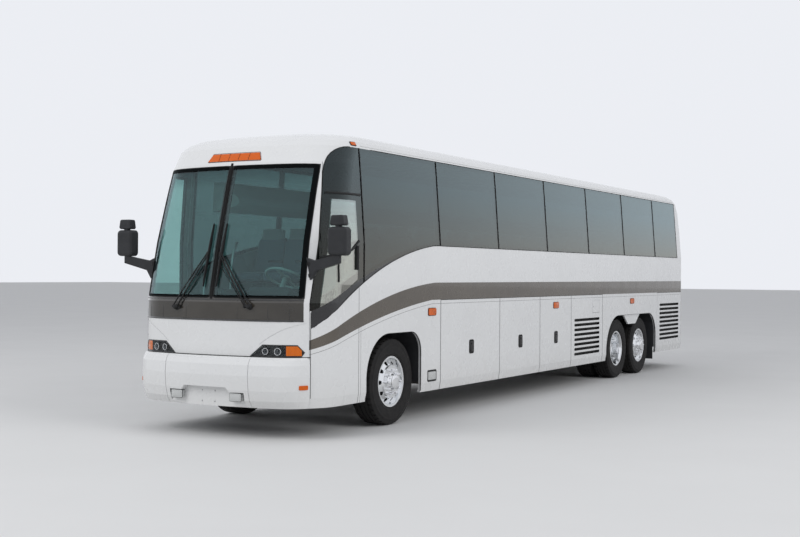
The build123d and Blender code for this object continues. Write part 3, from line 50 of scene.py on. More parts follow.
# Sizes that the looks share with the frame
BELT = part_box("left_bay_door_1")[1].z
GLASS_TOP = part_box("side_windows")[1].z
SEAM_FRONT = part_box("skirt_panels")[0].y
GLASS_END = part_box("side_windows")[1].y
CAP_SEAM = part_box("roof")[0].y
HALF_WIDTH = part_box("left_bay_door_2")[1].x
SCREEN_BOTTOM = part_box("windscreen")[0].z
SCREEN_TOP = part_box("windscreen")[1].z
BAND_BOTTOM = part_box("wiper_panel")[0].z
BUMPER_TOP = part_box("front_bumper")[1].z
ROOF_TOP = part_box("roof")[1].z
FLOOR_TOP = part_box("cabin_floor")[1].z
TYRE_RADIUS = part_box("left_front_tyre")[1].z / 2
RAKE = 0.2246  # how far the pillar leans back for each metre of height above the belt
BAY_DOORS = [(f"{side}_bay_door_{count}", sign) for side, sign in SIDES for count in (1, 2, 3)]

# Arcs that paint and glass follow along the side: centre station, centre height, radius, level they end at
STRIPE_TOP = (-3.432, -6.1185, 7.8517, 1.72)
STRIPE_BOTTOM = (-2.7444, -11.323, 12.8826, 1.5)
SILL_LINE = (-3.4, -3.19, 5.404, 2.19)
CREASE = (-2.7444, -11.323, 12.8366, 1.454)
# Stations and widths of the dark lines of painted shade along the panel seams, the fender seam and under the
# belt crease
SEAM_STATIONS = (-3.745, -1.955, -0.515, 0.755, 2.195)
FENDER_SEAM = -5.745
SEAM_HALF = 0.009
FENDER_SEAM_HALF = 0.006
CREASE_WIDTH = 0.006
GLASS_CORNER = (-5.83, 2.895)
GLASS_CORNER_RADIUS = 0.38
DRIVER_PANE_END = -5.78
DRIVER_PANE_TOP = 2.66
PANE_FRAME = 0.1
DOOR_PANE_FRAME = 0.08
SIDE_LOUVRES = (0.45, 1.36)
ENGINE_LOUVRES = (0.83, 1.37)
ENGINE_LOUVRE_REACH = 0.77
REBATE = 0.002
SCREEN_REBATE = 0.004

# The windscreen halves seen from the front, between the centre bar and the pillar
BAR_HALF = 0.025
SCREEN_EDGE_LOW = 1.105
SCREEN_EDGE_HIGH = 1.06

# The headlamp clusters seen from the front, and the mask they sit in seen from above
HEADLAMP = ((0.528, 0.912), (0.682, 1.04), (1.056, 1.04), (1.116, 0.962), (1.088, 0.912))
ROUND_LAMPS = ((0.71, 0.042), (0.856, 0.046))
ROUND_LAMP_Z = 0.97
TURN_SIGNAL_INNER = 0.94
TURN_SIGNAL_OUTER = 1.092
FRONT_FACE = -6.81
FRONT_BOW = 4.2
CORNER_CENTRE = (0.705, -6.1505)
CORNER_RADIUS = 0.59
CORNER_START = 0.8202


# Materials
RELIEF_DEPTH = 0.001
GLOSS_SPREAD = (0.3, 0.7)


def new_material(name):
    """An empty node material, its node tree and its shader."""
    made = bpy.data.materials.new(name)
    made.use_nodes = True
    return made, made.node_tree, made.node_tree.nodes["Principled BSDF"]


def put(tree, kind, inputs=None, **settings):
    """Adds a node with its settings and input values or links."""
    made = tree.nodes.new(kind)
    for name, value in settings.items():
        setattr(made, name, value)
    for name, value in (inputs or {}).items():
        feed(tree, made.inputs[name], value)
    return made


def feed(tree, entry, value):
    """Links a socket to an input, or sets the input to a value."""
    if isinstance(value, bpy.types.NodeSocket):
        tree.links.new(value, entry)
    else:
        entry.default_value = value


def place(tree):
    """Object coordinates, which are the row frame's."""
    return put(tree, "ShaderNodeTexCoord").outputs["Object"]


def coordinates(tree):
    """Object coordinates one by one: across, along and up."""
    return put(tree, "ShaderNodeSeparateXYZ", {0: place(tree)}).outputs


def maths(tree, operation, first, second=0.0, clamp=False):
    """One sum of two values or sockets."""
    return put(tree, "ShaderNodeMath", {0: first, 1: second}, operation=operation, use_clamp=clamp).outputs[0]


def blotch(tree, scale, detail=3.0):
    """Soft uneven patches of a size, from 0 to 1."""
    noise = put(tree, "ShaderNodeTexNoise", {"Vector": place(tree), "Scale": scale, "Detail": detail})
    return noise.outputs["Fac"]


def mixed(tree, share, first, second):
    """Two colours mixed by a share."""
    made = put(tree, "ShaderNodeMix", {"Factor": share}, data_type="RGBA")
    for slot, value in ((6, first), (7, second)):
        feed(tree, made.inputs[slot], value if isinstance(value, bpy.types.NodeSocket) else (*value, 1))
    return made.outputs[2]


def ranged(tree, value, low, high, start=0.0, end=1.0):
    """A value stretched from start and end onto low and high."""
    limits = {"From Min": start, "From Max": end, "To Min": low, "To Max": high}
    return put(tree, "ShaderNodeMapRange", {"Value": value, **limits}).outputs[0]


def bumped(tree, shader, height, strength, distance):
    """Gives a shader's surface a relief."""
    relief = put(tree, "ShaderNodeBump", {"Height": height, "Strength": strength, "Distance": distance})
    tree.links.new(relief.outputs[0], shader.inputs["Normal"])


def finished(made, tree, shader, colour, gloss, rough, spread=(0.0, 1.0), **constants):
    """Gives a shader its colour, a gloss that varies with a pattern, and its constant settings."""
    tree.links.new(colour, shader.inputs["Base Color"])
    tree.links.new(ranged(tree, gloss, *rough, *spread), shader.inputs["Roughness"])
    for slot, value in constants.items():
        shader.inputs[slot.replace("_", " ")].default_value = value
    return made


def surface(name, colour, worn, rough=(0.35, 0.5), patch=12.0, grain=0.0, grain_scale=400.0, **constants):
    """A finish with uneven colour, uneven gloss and, where grain is given, a fine relief."""
    made, tree, shader = new_material(name)
    if grain:
        bumped(tree, shader, blotch(tree, grain_scale, 2), grain, RELIEF_DEPTH)
    shade = mixed(tree, blotch(tree, patch), colour, worn)
    return finished(made, tree, shader, shade, blotch(tree, patch * 3), rough, GLOSS_SPREAD, **constants)


def arc_height(tree, station, arc):
    """Height of a line that rises on an arc from the front and then runs level."""
    centre_y, centre_z, radius, level = arc
    run = maths(tree, "SUBTRACT", maths(tree, "MINIMUM", station, centre_y), centre_y)
    rise = maths(tree, "SQRT", maths(tree, "SUBTRACT", radius**2, maths(tree, "MULTIPLY", run, run)))
    return maths(tree, "MINIMUM", maths(tree, "ADD", rise, centre_z), level)


WHITE = (0.71, 0.715, 0.715)
WHITE_SHADE = (0.665, 0.67, 0.672)
ROAD_FILM = (0.56, 0.55, 0.52)
TAUPE = (0.092, 0.08, 0.066)
TAUPE_LIGHT = (0.135, 0.115, 0.092)
BLACK = (0.012, 0.012, 0.013)
LINING = (0.4, 0.41, 0.41)
# Colour of the painted shade in the panel seams and under the belt crease
SEAM_PAINTED_SHADE = (0.08, 0.08, 0.08)
PRINT_BLACK = (0.002, 0.002, 0.002)
SHADE_BAND = (0.16, 0.3, 0.32)
DRIVER_PANE = (0.84, 0.92, 0.88)
# Painted reflection tints for the glass's mirror: a pale blue sky, and a warm ground seen low down
PAINTED_SKY_REFLECTION = ((0.82, 0.95, 0.98), (0.78, 0.92, 0.95))
PAINTED_GROUND_REFLECTION = (0.86, 0.84, 0.76)


def both(tree, *shares):
    """One where all the shares are one."""
    share = shares[0]
    for other in shares[1:]:
        share = maths(tree, "MULTIPLY", share, other)
    return share


def over(tree, value, limit):
    """One where a value is above a limit."""
    return maths(tree, "GREATER_THAN", value, limit)


def under(tree, value, limit):
    """One where a value is below a limit."""
    return maths(tree, "LESS_THAN", value, limit)


def within(tree, value, low, high):
    """One where a value is between two limits."""
    return both(tree, over(tree, value, low), under(tree, value, high))


def either(tree, first, second):
    """The larger of two shares."""
    return maths(tree, "MAXIMUM", first, second)


def away(tree, value, middle=0.0):
    """Distance from a middle."""
    return maths(tree, "ABSOLUTE", maths(tree, "SUBTRACT", value, middle))


def upright(tree, station, height):
    """A station with the pillar's lean taken out of it."""
    above = maths(tree, "MAXIMUM", maths(tree, "SUBTRACT", height, BELT), 0)
    return maths(tree, "SUBTRACT", station, maths(tree, "MULTIPLY", above, RAKE))


def behind_side_glass(tree, across, station, height):
    """The walls under the glass band, on the right only behind the entrance, up to its rounded corner."""
    ahead = maths(tree, "SUBTRACT", GLASS_CORNER[0], station)
    above = maths(tree, "SUBTRACT", height, GLASS_CORNER[1])
    squares = [maths(tree, "POWER", value, 2) for value in (ahead, above)]
    reach = maths(tree, "SQRT", maths(tree, "ADD", *squares))
    past_lean = over(tree, above, maths(tree, "MULTIPLY", ahead, RAKE))
    corner = both(tree, over(tree, ahead, 0), past_lean, over(tree, reach, GLASS_CORNER_RADIUS))
    panes = either(tree, over(tree, across, 0), over(tree, station, CAP_SEAM))
    band = within(tree, height, arc_height(tree, station, SILL_LINE), GLASS_TOP + 0.001)
    ends = within(tree, station, SEAM_FRONT + 0.01, GLASS_END + 0.001)
    return both(tree, panes, band, ends, maths(tree, "SUBTRACT", 1, corner))


def behind_screen(tree, across, station, height):
    """The rebate and the centre bar that the windscreen covers."""
    edges = (SCREEN_EDGE_LOW + SCREEN_REBATE, SCREEN_EDGE_HIGH + SCREEN_REBATE)
    lean = ranged(tree, height, *edges, SCREEN_BOTTOM, SCREEN_TOP)
    level = within(tree, height, SCREEN_BOTTOM - SCREEN_REBATE, SCREEN_TOP + SCREEN_REBATE)
    return both(tree, under(tree, away(tree, across), lean), level)


def behind_door_glass(tree, across, station, height):
    """The rebate under the entrance door's pane."""
    low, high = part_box("entrance_glass")
    front = over(tree, upright(tree, station, height), SEAM_FRONT + DOOR_PANE_FRAME)
    rear = under(tree, station, high.y + REBATE)
    return both(tree, front, rear, within(tree, height, low.z - REBATE, high.z + REBATE))


def behind_rear_glass(tree, across, station, height):
    """The rebate under the rear window."""
    low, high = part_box("rear_window")
    inside = under(tree, away(tree, across), high.x + REBATE)
    level = within(tree, height, low.z - REBATE, high.z + REBATE)
    return both(tree, inside, level, over(tree, station, low.y - 0.1))


def in_side_louvres(tree, across, station, height):
    """The sunk faces of the side grilles' slots, painted black as painted shade."""
    sunk = under(tree, away(tree, across), HALF_WIDTH - 0.003)
    return both(tree, sunk, within(tree, height, *SIDE_LOUVRES))


def in_rear_louvres(tree, across, station, height):
    """The sunk faces of the engine door's slots, painted black as painted shade."""
    sunk = under(tree, station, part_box("engine_door")[1].y - 0.005)
    inside = under(tree, away(tree, across), ENGINE_LOUVRE_REACH)
    return both(tree, sunk, inside, within(tree, height, *ENGINE_LOUVRES))


def body_paint(name, blackened=None):
    """Gloss white with a road film low down, the swept taupe stripe, painted shade along the panel seams and
    under the belt crease, black under glass, black painted shade on the louvre slots' sunk faces and a grey
    lining.
    """
    made, tree, shader = new_material(name)
    across, station, height = coordinates(tree)
    behind_mask = over(tree, station, SEAM_FRONT - 0.002)
    white = mixed(tree, blotch(tree, 1.3), WHITE, WHITE_SHADE)
    film = maths(tree, "MULTIPLY", ranged(tree, height, 0.4, 0.0, 0.35, 0.75), blotch(tree, 3, 2), clamp=True)
    white = mixed(tree, film, white, ROAD_FILM)
    stripe_low, stripe_high = [arc_height(tree, station, arc) for arc in (STRIPE_BOTTOM, STRIPE_TOP)]
    stripe = both(tree, within(tree, height, stripe_low, stripe_high), behind_mask)
    taupe = mixed(tree, blotch(tree, 2.2), TAUPE, TAUPE_LIGHT)
    # Painted shade: dark lines under the belt crease, along the panel seams below the belt and along the
    # fender seam below the sill
    fold = arc_height(tree, station, CREASE)
    crease = both(tree, within(tree, height, maths(tree, "SUBTRACT", fold, CREASE_WIDTH), fold), behind_mask)
    nearest = away(tree, station, SEAM_STATIONS[0])
    for seam in SEAM_STATIONS[1:]:
        nearest = maths(tree, "MINIMUM", nearest, away(tree, station, seam))
    gaps = both(tree, under(tree, nearest, SEAM_HALF), under(tree, height, BELT))
    below_sill = under(tree, height, arc_height(tree, station, SILL_LINE))
    fender = both(tree, under(tree, away(tree, station, FENDER_SEAM), FENDER_SEAM_HALF), below_sill)
    painted_edge_shade = either(tree, crease, either(tree, gaps, fender))
    white = mixed(tree, maths(tree, "MULTIPLY", painted_edge_shade, 0.75), white, SEAM_PAINTED_SHADE)
    painted = mixed(tree, stripe, white, taupe)
    spread = {0: place(tree), 1: (1, 0.25, 1), 2: (0, 0, -2)}
    from_middle = put(tree, "ShaderNodeVectorMath", spread, operation="MULTIPLY_ADD").outputs[0]
    normal = put(tree, "ShaderNodeTexCoord").outputs["Normal"]
    outward = put(tree, "ShaderNodeVectorMath", {0: normal, 1: from_middle}, operation="DOT_PRODUCT")
    painted = mixed(tree, under(tree, outward.outputs["Value"], 0), painted, LINING)
    # Black under the glass, and black painted shade on the louvre slots' sunk faces
    if blackened:
        painted = mixed(tree, blackened(tree, across, station, height), painted, BLACK)
    tree.links.new(maths(tree, "MULTIPLY", stripe, 0.5), shader.inputs["Metallic"])
    gloss = blotch(tree, 5)
    return finished(
        made, tree, shader, painted, gloss, (0.2, 0.34), GLOSS_SPREAD, Coat_Weight=0.5, Coat_Roughness=0.04
    )


def screen_border(tree, across, height):
    """The printed black border round each half of the windscreen."""
    edges = (SCREEN_EDGE_LOW - 0.05, SCREEN_EDGE_HIGH - 0.05)
    beyond = over(tree, away(tree, across), ranged(tree, height, *edges, SCREEN_BOTTOM, SCREEN_TOP))
    top = over(tree, height, SCREEN_TOP - 0.045)
    return either(tree, either(tree, beyond, top), under(tree, height, SCREEN_BOTTOM + 0.03))


def driver_light(tree, across, station, height):
    """The clear pane of the driver's window, inside its darker frame."""
    return both(
        tree,
        over(tree, across, 0),
        over(tree, upright(tree, station, height), SEAM_FRONT + PANE_FRAME),
        under(tree, station, DRIVER_PANE_END),
        over(tree, maths(tree, "SUBTRACT", height, arc_height(tree, station, SILL_LINE)), PANE_FRAME),
        under(tree, height, DRIVER_PANE_TOP),
    )


def mirror_share(tree, straight_on, rise=5):
    """The share of light that a pane mirrors, from either side: more of it towards a glancing angle."""
    slant = put(tree, "ShaderNodeLayerWeight", {"Blend": 0.5}).outputs["Facing"]
    return ranged(tree, maths(tree, "POWER", slant, rise), straight_on, 1)


def see_through(made, tint, mirror_tint, share, roughness):
    """Lets tinted light straight through a material and mirrors a share of it."""
    tree = made.node_tree
    through = put(tree, "ShaderNodeBsdfTransparent", {"Color": tint})
    mirror = put(tree, "ShaderNodeBsdfGlossy", {"Color": mirror_tint, "Roughness": roughness})
    blend = put(tree, "ShaderNodeMixShader", {0: share, 1: through.outputs[0], 2: mirror.outputs[0]})
    tree.links.new(blend.outputs[0], tree.nodes["Material Output"].inputs["Surface"])
    return made


def window_tint(name, tint, passes, gloss=0.04, shade=None, clear_part=None, border=None, paints_ground_reflection=False):
    """Tinted glass, where asked with a shaded top, a clear part, a black border or a painted warm reflection
    of the ground towards the bottom.
    """
    made, tree, shader = new_material(name)
    tree.nodes.remove(shader)
    across, station, height = coordinates(tree)
    through_tint = mixed(tree, blotch(tree, 0.8), tint, [passes * value for value in tint])
    share = mirror_share(tree, gloss, 3 if paints_ground_reflection else 5)
    if shade:
        through_tint = mixed(tree, ranged(tree, height, 0, 0.6, *shade), through_tint, SHADE_BAND)
    if clear_part:
        clear = clear_part(tree, across, station, height)
        through_tint = mixed(tree, clear, through_tint, DRIVER_PANE)
        share = maths(tree, "ADD", share, maths(tree, "MULTIPLY", clear, 0.3))
    if border:
        edge = border(tree, across, height)
        through_tint = mixed(tree, edge, through_tint, PRINT_BLACK)
        share = maths(tree, "MULTIPLY", share, ranged(tree, edge, 1, 0.15))
    # Painted reflection: the mirror is tinted like a sky, and where asked turns warm towards the bottom like
    # a reflected ground
    mirror_tint = mixed(tree, blotch(tree, 0.5), *PAINTED_SKY_REFLECTION)
    if paints_ground_reflection:
        mirror_tint = mixed(tree, ranged(tree, height, 0, 1, 2.9, 2.0), mirror_tint, PAINTED_GROUND_REFLECTION)
    return see_through(made, through_tint, mirror_tint, share, 0.015)


def clear_cover(name, tint):
    """A thin clear plastic cover that only mirrors a little."""
    made, tree, shader = new_material(name)
    tree.nodes.remove(shader)
    faint = mixed(tree, blotch(tree, 9), tint, [0.95 * value for value in tint])
    return see_through(made, faint, (0.95, 0.97, 0.98, 1), mirror_share(tree, 0.018), 0.03)


AMBER_TONES = ((0.95, 0.22, 0.006), (0.7, 0.12, 0.003))
TAIL_TONES = (
    ((0.5, 0.012, 0.01), (0.3, 0.006, 0.006)),
    ((0.8, 0.2, 0.015), (0.55, 0.1, 0.008)),
    ((0.7, 0.71, 0.72), (0.5, 0.51, 0.52)),
)
TAIL_LEVELS = (1.06, 1.22)
LENS_GLOSS = (0.08, 0.2)
LENS_RIBS = 260 / math.tau
CLUSTER_RIBS = 28.0
TAIL_RIBS = 36.0


def flutes(tree, scale, direction="X"):
    """Fine ribs moulded into a lens."""
    wave = put(tree, "ShaderNodeTexWave", {"Vector": place(tree), "Scale": scale}, bands_direction=direction)
    return wave.outputs["Fac"]


def lens(name, colour, deep):
    """A moulded lamp lens with fine flutes."""
    made, tree, shader = new_material(name)
    ribbed = flutes(tree, LENS_RIBS, "DIAGONAL")
    bumped(tree, shader, ribbed, 0.3, RELIEF_DEPTH)
    shade = mixed(tree, ribbed, colour, deep)
    gloss = blotch(tree, 60)
    return finished(made, tree, shader, shade, gloss, LENS_GLOSS, Coat_Weight=0.15, Specular_IOR_Level=0.25)


def lamp_cluster():
    """The headlamp body: black bowls, with an amber turn signal outboard."""
    made, tree, shader = new_material("lamp_cluster")
    across, _, height = coordinates(tree)
    wide = within(tree, away(tree, across), TURN_SIGNAL_INNER + 0.008, TURN_SIGNAL_OUTER)
    amber = both(tree, wide, within(tree, height, HEADLAMP[0][1] + 0.014, HEADLAMP[1][1] - 0.01))
    ribbed = flutes(tree, CLUSTER_RIBS)
    bumped(tree, shader, maths(tree, "MULTIPLY", ribbed, amber), 0.3, RELIEF_DEPTH)
    black = mixed(tree, blotch(tree, 30), (0.011, 0.011, 0.012), (0.022, 0.022, 0.022))
    shade = mixed(tree, amber, black, mixed(tree, ribbed, *AMBER_TONES))
    gloss = blotch(tree, 60)
    return finished(made, tree, shader, shade, gloss, (0.1, 0.24), Coat_Weight=0.1, Specular_IOR_Level=0.2)


def tail_lens():
    """A tail lamp in three sections: red below, amber in the middle, clear on top."""
    made, tree, shader = new_material("tail_lens")
    height = coordinates(tree)[2]
    ribbed = flutes(tree, TAIL_RIBS)
    bumped(tree, shader, ribbed, 0.3, RELIEF_DEPTH)
    shade, *higher = [mixed(tree, ribbed, *tones) for tones in TAIL_TONES]
    for level, section in zip(TAIL_LEVELS, higher):
        shade = mixed(tree, over(tree, height, level), shade, section)
    return finished(made, tree, shader, shade, blotch(tree, 60), LENS_GLOSS, Coat_Weight=0.8)


def tyre_rubber():
    """Black rubber, greyer where dust lies, with a fine grain."""
    made, tree, shader = new_material("tyre_rubber")
    bumped(tree, shader, blotch(tree, 500, 2), 0.15, RELIEF_DEPTH)
    dust = maths(tree, "MULTIPLY", blotch(tree, 14, 5), 0.8)
    shade = mixed(tree, dust, (0.01, 0.01, 0.011), (0.032, 0.03, 0.028))
    return finished(made, tree, shader, shade, blotch(tree, 30), (0.62, 0.85), Specular_IOR_Level=0.2)


def woven_cloth(name, colour, thread):
    """Seat cloth with a small woven check."""
    made, tree, shader = new_material(name)
    weave = put(tree, "ShaderNodeTexChecker", {"Vector": place(tree), "Scale": 160.0}).outputs["Fac"]
    bumped(tree, shader, weave, 0.4, RELIEF_DEPTH)
    shade = mixed(tree, weave, colour, thread)
    return finished(made, tree, shader, shade, blotch(tree, 8), (0.8, 0.95), Sheen_Weight=0.3)


BAND_TONES = ((0.022, 0.02, 0.017), (0.055, 0.048, 0.038))
IRON_TONES = ((0.04, 0.038, 0.036), (0.09, 0.075, 0.06))
PAINT = body_paint("body_paint")
SIDE_WALL_PAINT = body_paint("side_wall_paint", behind_side_glass)
MASK_PAINT = body_paint("front_mask_paint", behind_screen)
DOOR_PAINT = body_paint("entrance_door_paint", behind_door_glass)
REAR_PAINT = body_paint("rear_cap_paint", behind_rear_glass)
# The grille doors' paint has black painted shade on the sunk faces of their louvre slots
SIDE_GRILLE_PAINT = body_paint("side_grille_paint", in_side_louvres)
ENGINE_DOOR_PAINT = body_paint("engine_door_paint", in_rear_louvres)
# The side glass carries the painted warm ground reflection towards its bottom
SIDE_GLASS = window_tint("side_glass", (0.33, 0.4, 0.4), 0.88, 0.05, clear_part=driver_light, paints_ground_reflection=True)
SCREEN_GLASS = window_tint("screen_glass", (0.66, 0.84, 0.83), 0.93, 0.055, (2.8, 3.05), border=screen_border)
DOOR_GLASS = window_tint("door_glass", (0.74, 0.82, 0.8), 0.93, 0.05)
REAR_GLASS = window_tint("rear_glass", (0.2, 0.24, 0.24), 0.85, 0.1)
GLOSS_BLACK = surface("gloss_black", BLACK, (0.03, 0.029, 0.028), (0.08, 0.2), Coat_Weight=0.6)
BAND_BLACK = surface("band_black", *BAND_TONES, (0.06, 0.14), 2.0, Coat_Weight=1.0)
SATIN_BLACK = surface(
    "satin_black", (0.009, 0.009, 0.01), (0.018, 0.018, 0.018), (0.35, 0.5), 16, Specular_IOR_Level=0.25
)
RUBBER_SEAL = surface(
    "rubber_seal", (0.008, 0.008, 0.008), (0.018, 0.018, 0.018), (0.5, 0.7), 20, Specular_IOR_Level=0.2
)
PLASTIC = surface(
    "grained_plastic",
    *((0.02, 0.021, 0.023), (0.036, 0.037, 0.04), (0.38, 0.55)),
    *(10, 0.2, 700),
    Specular_IOR_Level=0.25,
)
# Near-black for the grille mesh, and painted shade for the dark space behind the louvres
GRILLE_MESH_AND_PAINTED_SHADE = surface("mesh_and_painted_shade_black", (0.006, 0.006, 0.006), (0.014, 0.013, 0.012), (0.7, 0.9), 25, 0.3, 300)
DASH_TOP = surface("dash_top", (0.26, 0.27, 0.265), (0.34, 0.35, 0.34), (0.5, 0.7), 8, 0.25, 500)
RACK_LINING = surface("rack_lining", (0.46, 0.47, 0.47), (0.52, 0.53, 0.53), (0.6, 0.8), 6, 0.2, 300)
FRAME_PAINT = surface("frame_paint", (0.05, 0.05, 0.052), (0.09, 0.082, 0.072), (0.45, 0.7), 5, 0.2, 80)
FLOOR_PAINT = surface("floor_covering", (0.1, 0.105, 0.11), (0.15, 0.15, 0.15), (0.5, 0.7), 4, 0.15, 300)
CAST_IRON = surface("cast_iron", *IRON_TONES, (0.55, 0.8), 9, 0.4, 60, Metallic=0.4)
ALLOY = surface("polished_alloy", (0.86, 0.87, 0.88), (0.78, 0.79, 0.8), (0.07, 0.16), 9, Metallic=1.0)
CHROME = surface("chrome", (0.9, 0.9, 0.91), (0.82, 0.82, 0.83), (0.03, 0.09), 14, Metallic=1.0)
LAMP_BOWL = surface("lamp_bowl", (0.12, 0.122, 0.125), (0.07, 0.07, 0.072), (0.12, 0.25), 40, Metallic=1.0)
STEEL = surface("brushed_steel", (0.5, 0.5, 0.5), (0.4, 0.4, 0.41), (0.25, 0.4), 30, Metallic=1.0)
MIRROR_GLASS = surface("mirror_glass", (0.85, 0.87, 0.88), (0.8, 0.82, 0.83), (0.01, 0.03), 4, Metallic=1.0)
AMBER = lens("amber_lens", (0.72, 0.14, 0.003), (0.5, 0.07, 0.001))
RED = lens("red_lens", (0.5, 0.012, 0.01), (0.3, 0.006, 0.006))
CLEAR = lens("clear_lens", (0.6, 0.61, 0.6), (0.42, 0.43, 0.43))
LAMP_CLUSTER = lamp_cluster()
TAIL_LENS = tail_lens()
LAMP_COVER = clear_cover("lamp_cover", (0.9, 0.92, 0.93))
TYRE = tyre_rubber()
SEAT_CLOTH = woven_cloth("seat_cloth", (0.09, 0.12, 0.17), (0.16, 0.19, 0.24))
HEADREST_TRIM = woven_cloth("headrest_trim", (0.3, 0.31, 0.32), (0.42, 0.42, 0.42))

FINISH_NODES = (
    (LAMP_CLUSTER, "headlamps"),
    (CLEAR, "small_lamps"),
    (AMBER, "marker_lamps"),
    (TAIL_LENS, "tail_lamps"),
    (SIDE_GLASS, "side_windows"),
    (REAR_GLASS, "rear_window"),
    (SCREEN_GLASS, "windscreen"),
    (DOOR_GLASS, "entrance_glass"),
    (SIDE_WALL_PAINT, "side_walls"),
    (MASK_PAINT, "front_mask"),
    (DOOR_PAINT, "entrance_door"),
    (REAR_PAINT, "rear_cap"),
    (SIDE_GRILLE_PAINT, "condenser_door radiator_door engine_side_door"),
    (ENGINE_DOOR_PAINT, "engine_door"),
    (BAND_BLACK, "wiper_panel"),
    (PLASTIC, "wheel_housings mirrors"),
    (FLOOR_PAINT, "cabin_floor floor_rails entrance_steps"),
    (FRAME_PAINT, "luggage_floor underframe"),
    (CAST_IRON, "engine axles left_knuckle right_knuckle"),
    (GLOSS_BLACK, "wipers"),
    (DASH_TOP, "dashboard"),
    (SEAT_CLOTH, "seats"),
    (ALLOY, " ".join(name for name in NODES if name.endswith("_wheel"))),
    (TYRE, " ".join(name for name in NODES if name.endswith("_tyre"))),
)
NODE_FINISH = {name: finish for finish, names in FINISH_NODES for name in names.split()}


def dress_frame():
    """Gives every CAD node its finish, which is the body's paint unless the table says otherwise."""
    for name, node in NODES.items():
        node.data.materials.clear()
        node.data.materials.append(NODE_FINISH.get(name, PAINT))


# The camera, floor and light
CAMERA_PLACE = (8.51477, -17.4293, 1.82473)
CAMERA_YAW = math.radians(29.77329)
CAMERA_PITCH = math.radians(-0.26821)
CAMERA_ROLL = math.radians(0.37376)
CAMERA_LENS = 54.085
SENSOR_WIDTH = 36
SIGHT_END = 400
LIT_SPOT = (0, -2, 1.5)


def set_camera():
    """The photograph's viewing angle."""
    flat = Vector((-math.sin(CAMERA_YAW), math.cos(CAMERA_YAW), 0)) * math.cos(CAMERA_PITCH)
    ahead = flat - Vector((0, 0, math.sin(CAMERA_PITCH)))
    across = Vector((math.cos(CAMERA_YAW), math.sin(CAMERA_YAW), 0))
    up = across.cross(ahead)
    right = across * math.cos(CAMERA_ROLL) + up * math.sin(CAMERA_ROLL)
    top = up * math.cos(CAMERA_ROLL) - across * math.sin(CAMERA_ROLL)
    data = bpy.data.cameras.new("view")
    data.lens = CAMERA_LENS
    data.sensor_width = SENSOR_WIDTH
    data.clip_end = SIGHT_END
    camera = bpy.data.objects.new("view", data)
    turn = Matrix((right, top, -ahead)).transposed().to_4x4()
    camera.matrix_world = Matrix.Translation(CAMERA_PLACE) @ turn
    bpy.context.scene.collection.objects.link(camera)
    bpy.context.scene.camera = camera


FLOOR_REACH = 150.0
FLOOR_TONES = ((0.66, 0.66, 0.655), (0.7, 0.7, 0.695))
SURROUND_LIGHT = 0.6
SURROUND_SEEN = 0.9
SURROUND_TINT = (0.93, 0.95, 1.0, 1)
LAMPS = (("key", (-9, -22, 15), 14, 2300), ("fill", (22, -6, 13), 14, 2100))


def lay_floor():
    """A pale floor, not part of the coach."""
    bm = bmesh.new()
    bmesh.ops.create_grid(bm, x_segments=1, y_segments=1, size=FLOOR_REACH)
    add_object("studio_floor", bm, surface("pale_floor", *FLOOR_TONES, (0.7, 0.85), 0.4))


def light_studio():
    """Soft even light: a pale surround, a broad key over the front corner and a fill along the side."""
    bpy.context.scene.view_settings.view_transform = "Standard"
    world = bpy.data.worlds.new("surround")
    world.use_nodes = True
    tree = world.node_tree
    seen = put(tree, "ShaderNodeLightPath")
    shown = maths(tree, "MAXIMUM", seen.outputs["Is Camera Ray"], seen.outputs["Is Glossy Ray"])
    shown = maths(tree, "MAXIMUM", shown, seen.outputs["Is Transmission Ray"])
    ground = tree.nodes["Background"]
    ground.inputs["Color"].default_value = SURROUND_TINT
    tree.links.new(ranged(tree, shown, SURROUND_LIGHT, SURROUND_SEEN), ground.inputs["Strength"])
    bpy.context.scene.world = world
    for name, stand, size, power in LAMPS:
        data = bpy.data.lights.new(name, "AREA")
        data.size = size
        data.energy = power
        lamp = bpy.data.objects.new(name, data)
        lamp.location = stand
        lamp.rotation_euler = (Vector(LIT_SPOT) - Vector(stand)).to_track_quat("-Z", "Y").to_euler()
        lamp.visible_glossy = False
        bpy.context.scene.collection.objects.link(lamp)


# Making pieces
WELD = 1e-5
HAIR = 1e-6


def add_object(name, bm, *finishes, sharp=35):
    """Turns a bmesh into a shaded object at the origin."""
    mesh = bpy.data.meshes.new(name)
    bm.to_mesh(mesh)
    bm.free()
    mesh.shade_smooth()
    mesh.set_sharp_from_angle(angle=math.radians(sharp))
    for finish in finishes:
        mesh.materials.append(finish)
    made = bpy.data.objects.new(name, mesh)
    bpy.context.scene.collection.objects.link(made)
    return made


def add_piece(name, shape, finish, sharp=35, body="coach_body"):
    """A finished piece of one or several shapes, riding on a body, with its finish in a material slot."""
    bm = joined(shape) if isinstance(shape, list) else shape
    bmesh.ops.remove_doubles(bm, verts=bm.verts, dist=WELD)
    bmesh.ops.recalc_face_normals(bm, faces=bm.faces)
    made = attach(add_object(name, bm, finish, sharp=sharp), body)
    return made


def moved(bm, *spot):
    """Moves a whole bmesh."""
    return shifted(bm, Matrix.Translation(spot))


def flipped(bm, side, spot):
    """Turns a shape made for the left to a side, and puts it on a spot."""
    return shifted(bm, Matrix.Scale(side, 4, (1, 0, 0)), Matrix.Translation(spot))


def bevelled(bm, edges, offset, steps=2):
    """Rounds edges."""
    bmesh.ops.bevel(bm, geom=edges, offset=offset, segments=steps, profile=0.5, affect="EDGES", material=-1)


def sized_cube(size):
    """A box of a size about the origin."""
    bm = bmesh.new()
    bmesh.ops.create_cube(bm, size=1)
    bmesh.ops.scale(bm, verts=bm.verts, vec=size)
    return bm


def shifted(bm, *moves):
    """Applies transforms to a whole bmesh, in order."""
    for move in moves:
        bm.transform(move)
    return bm


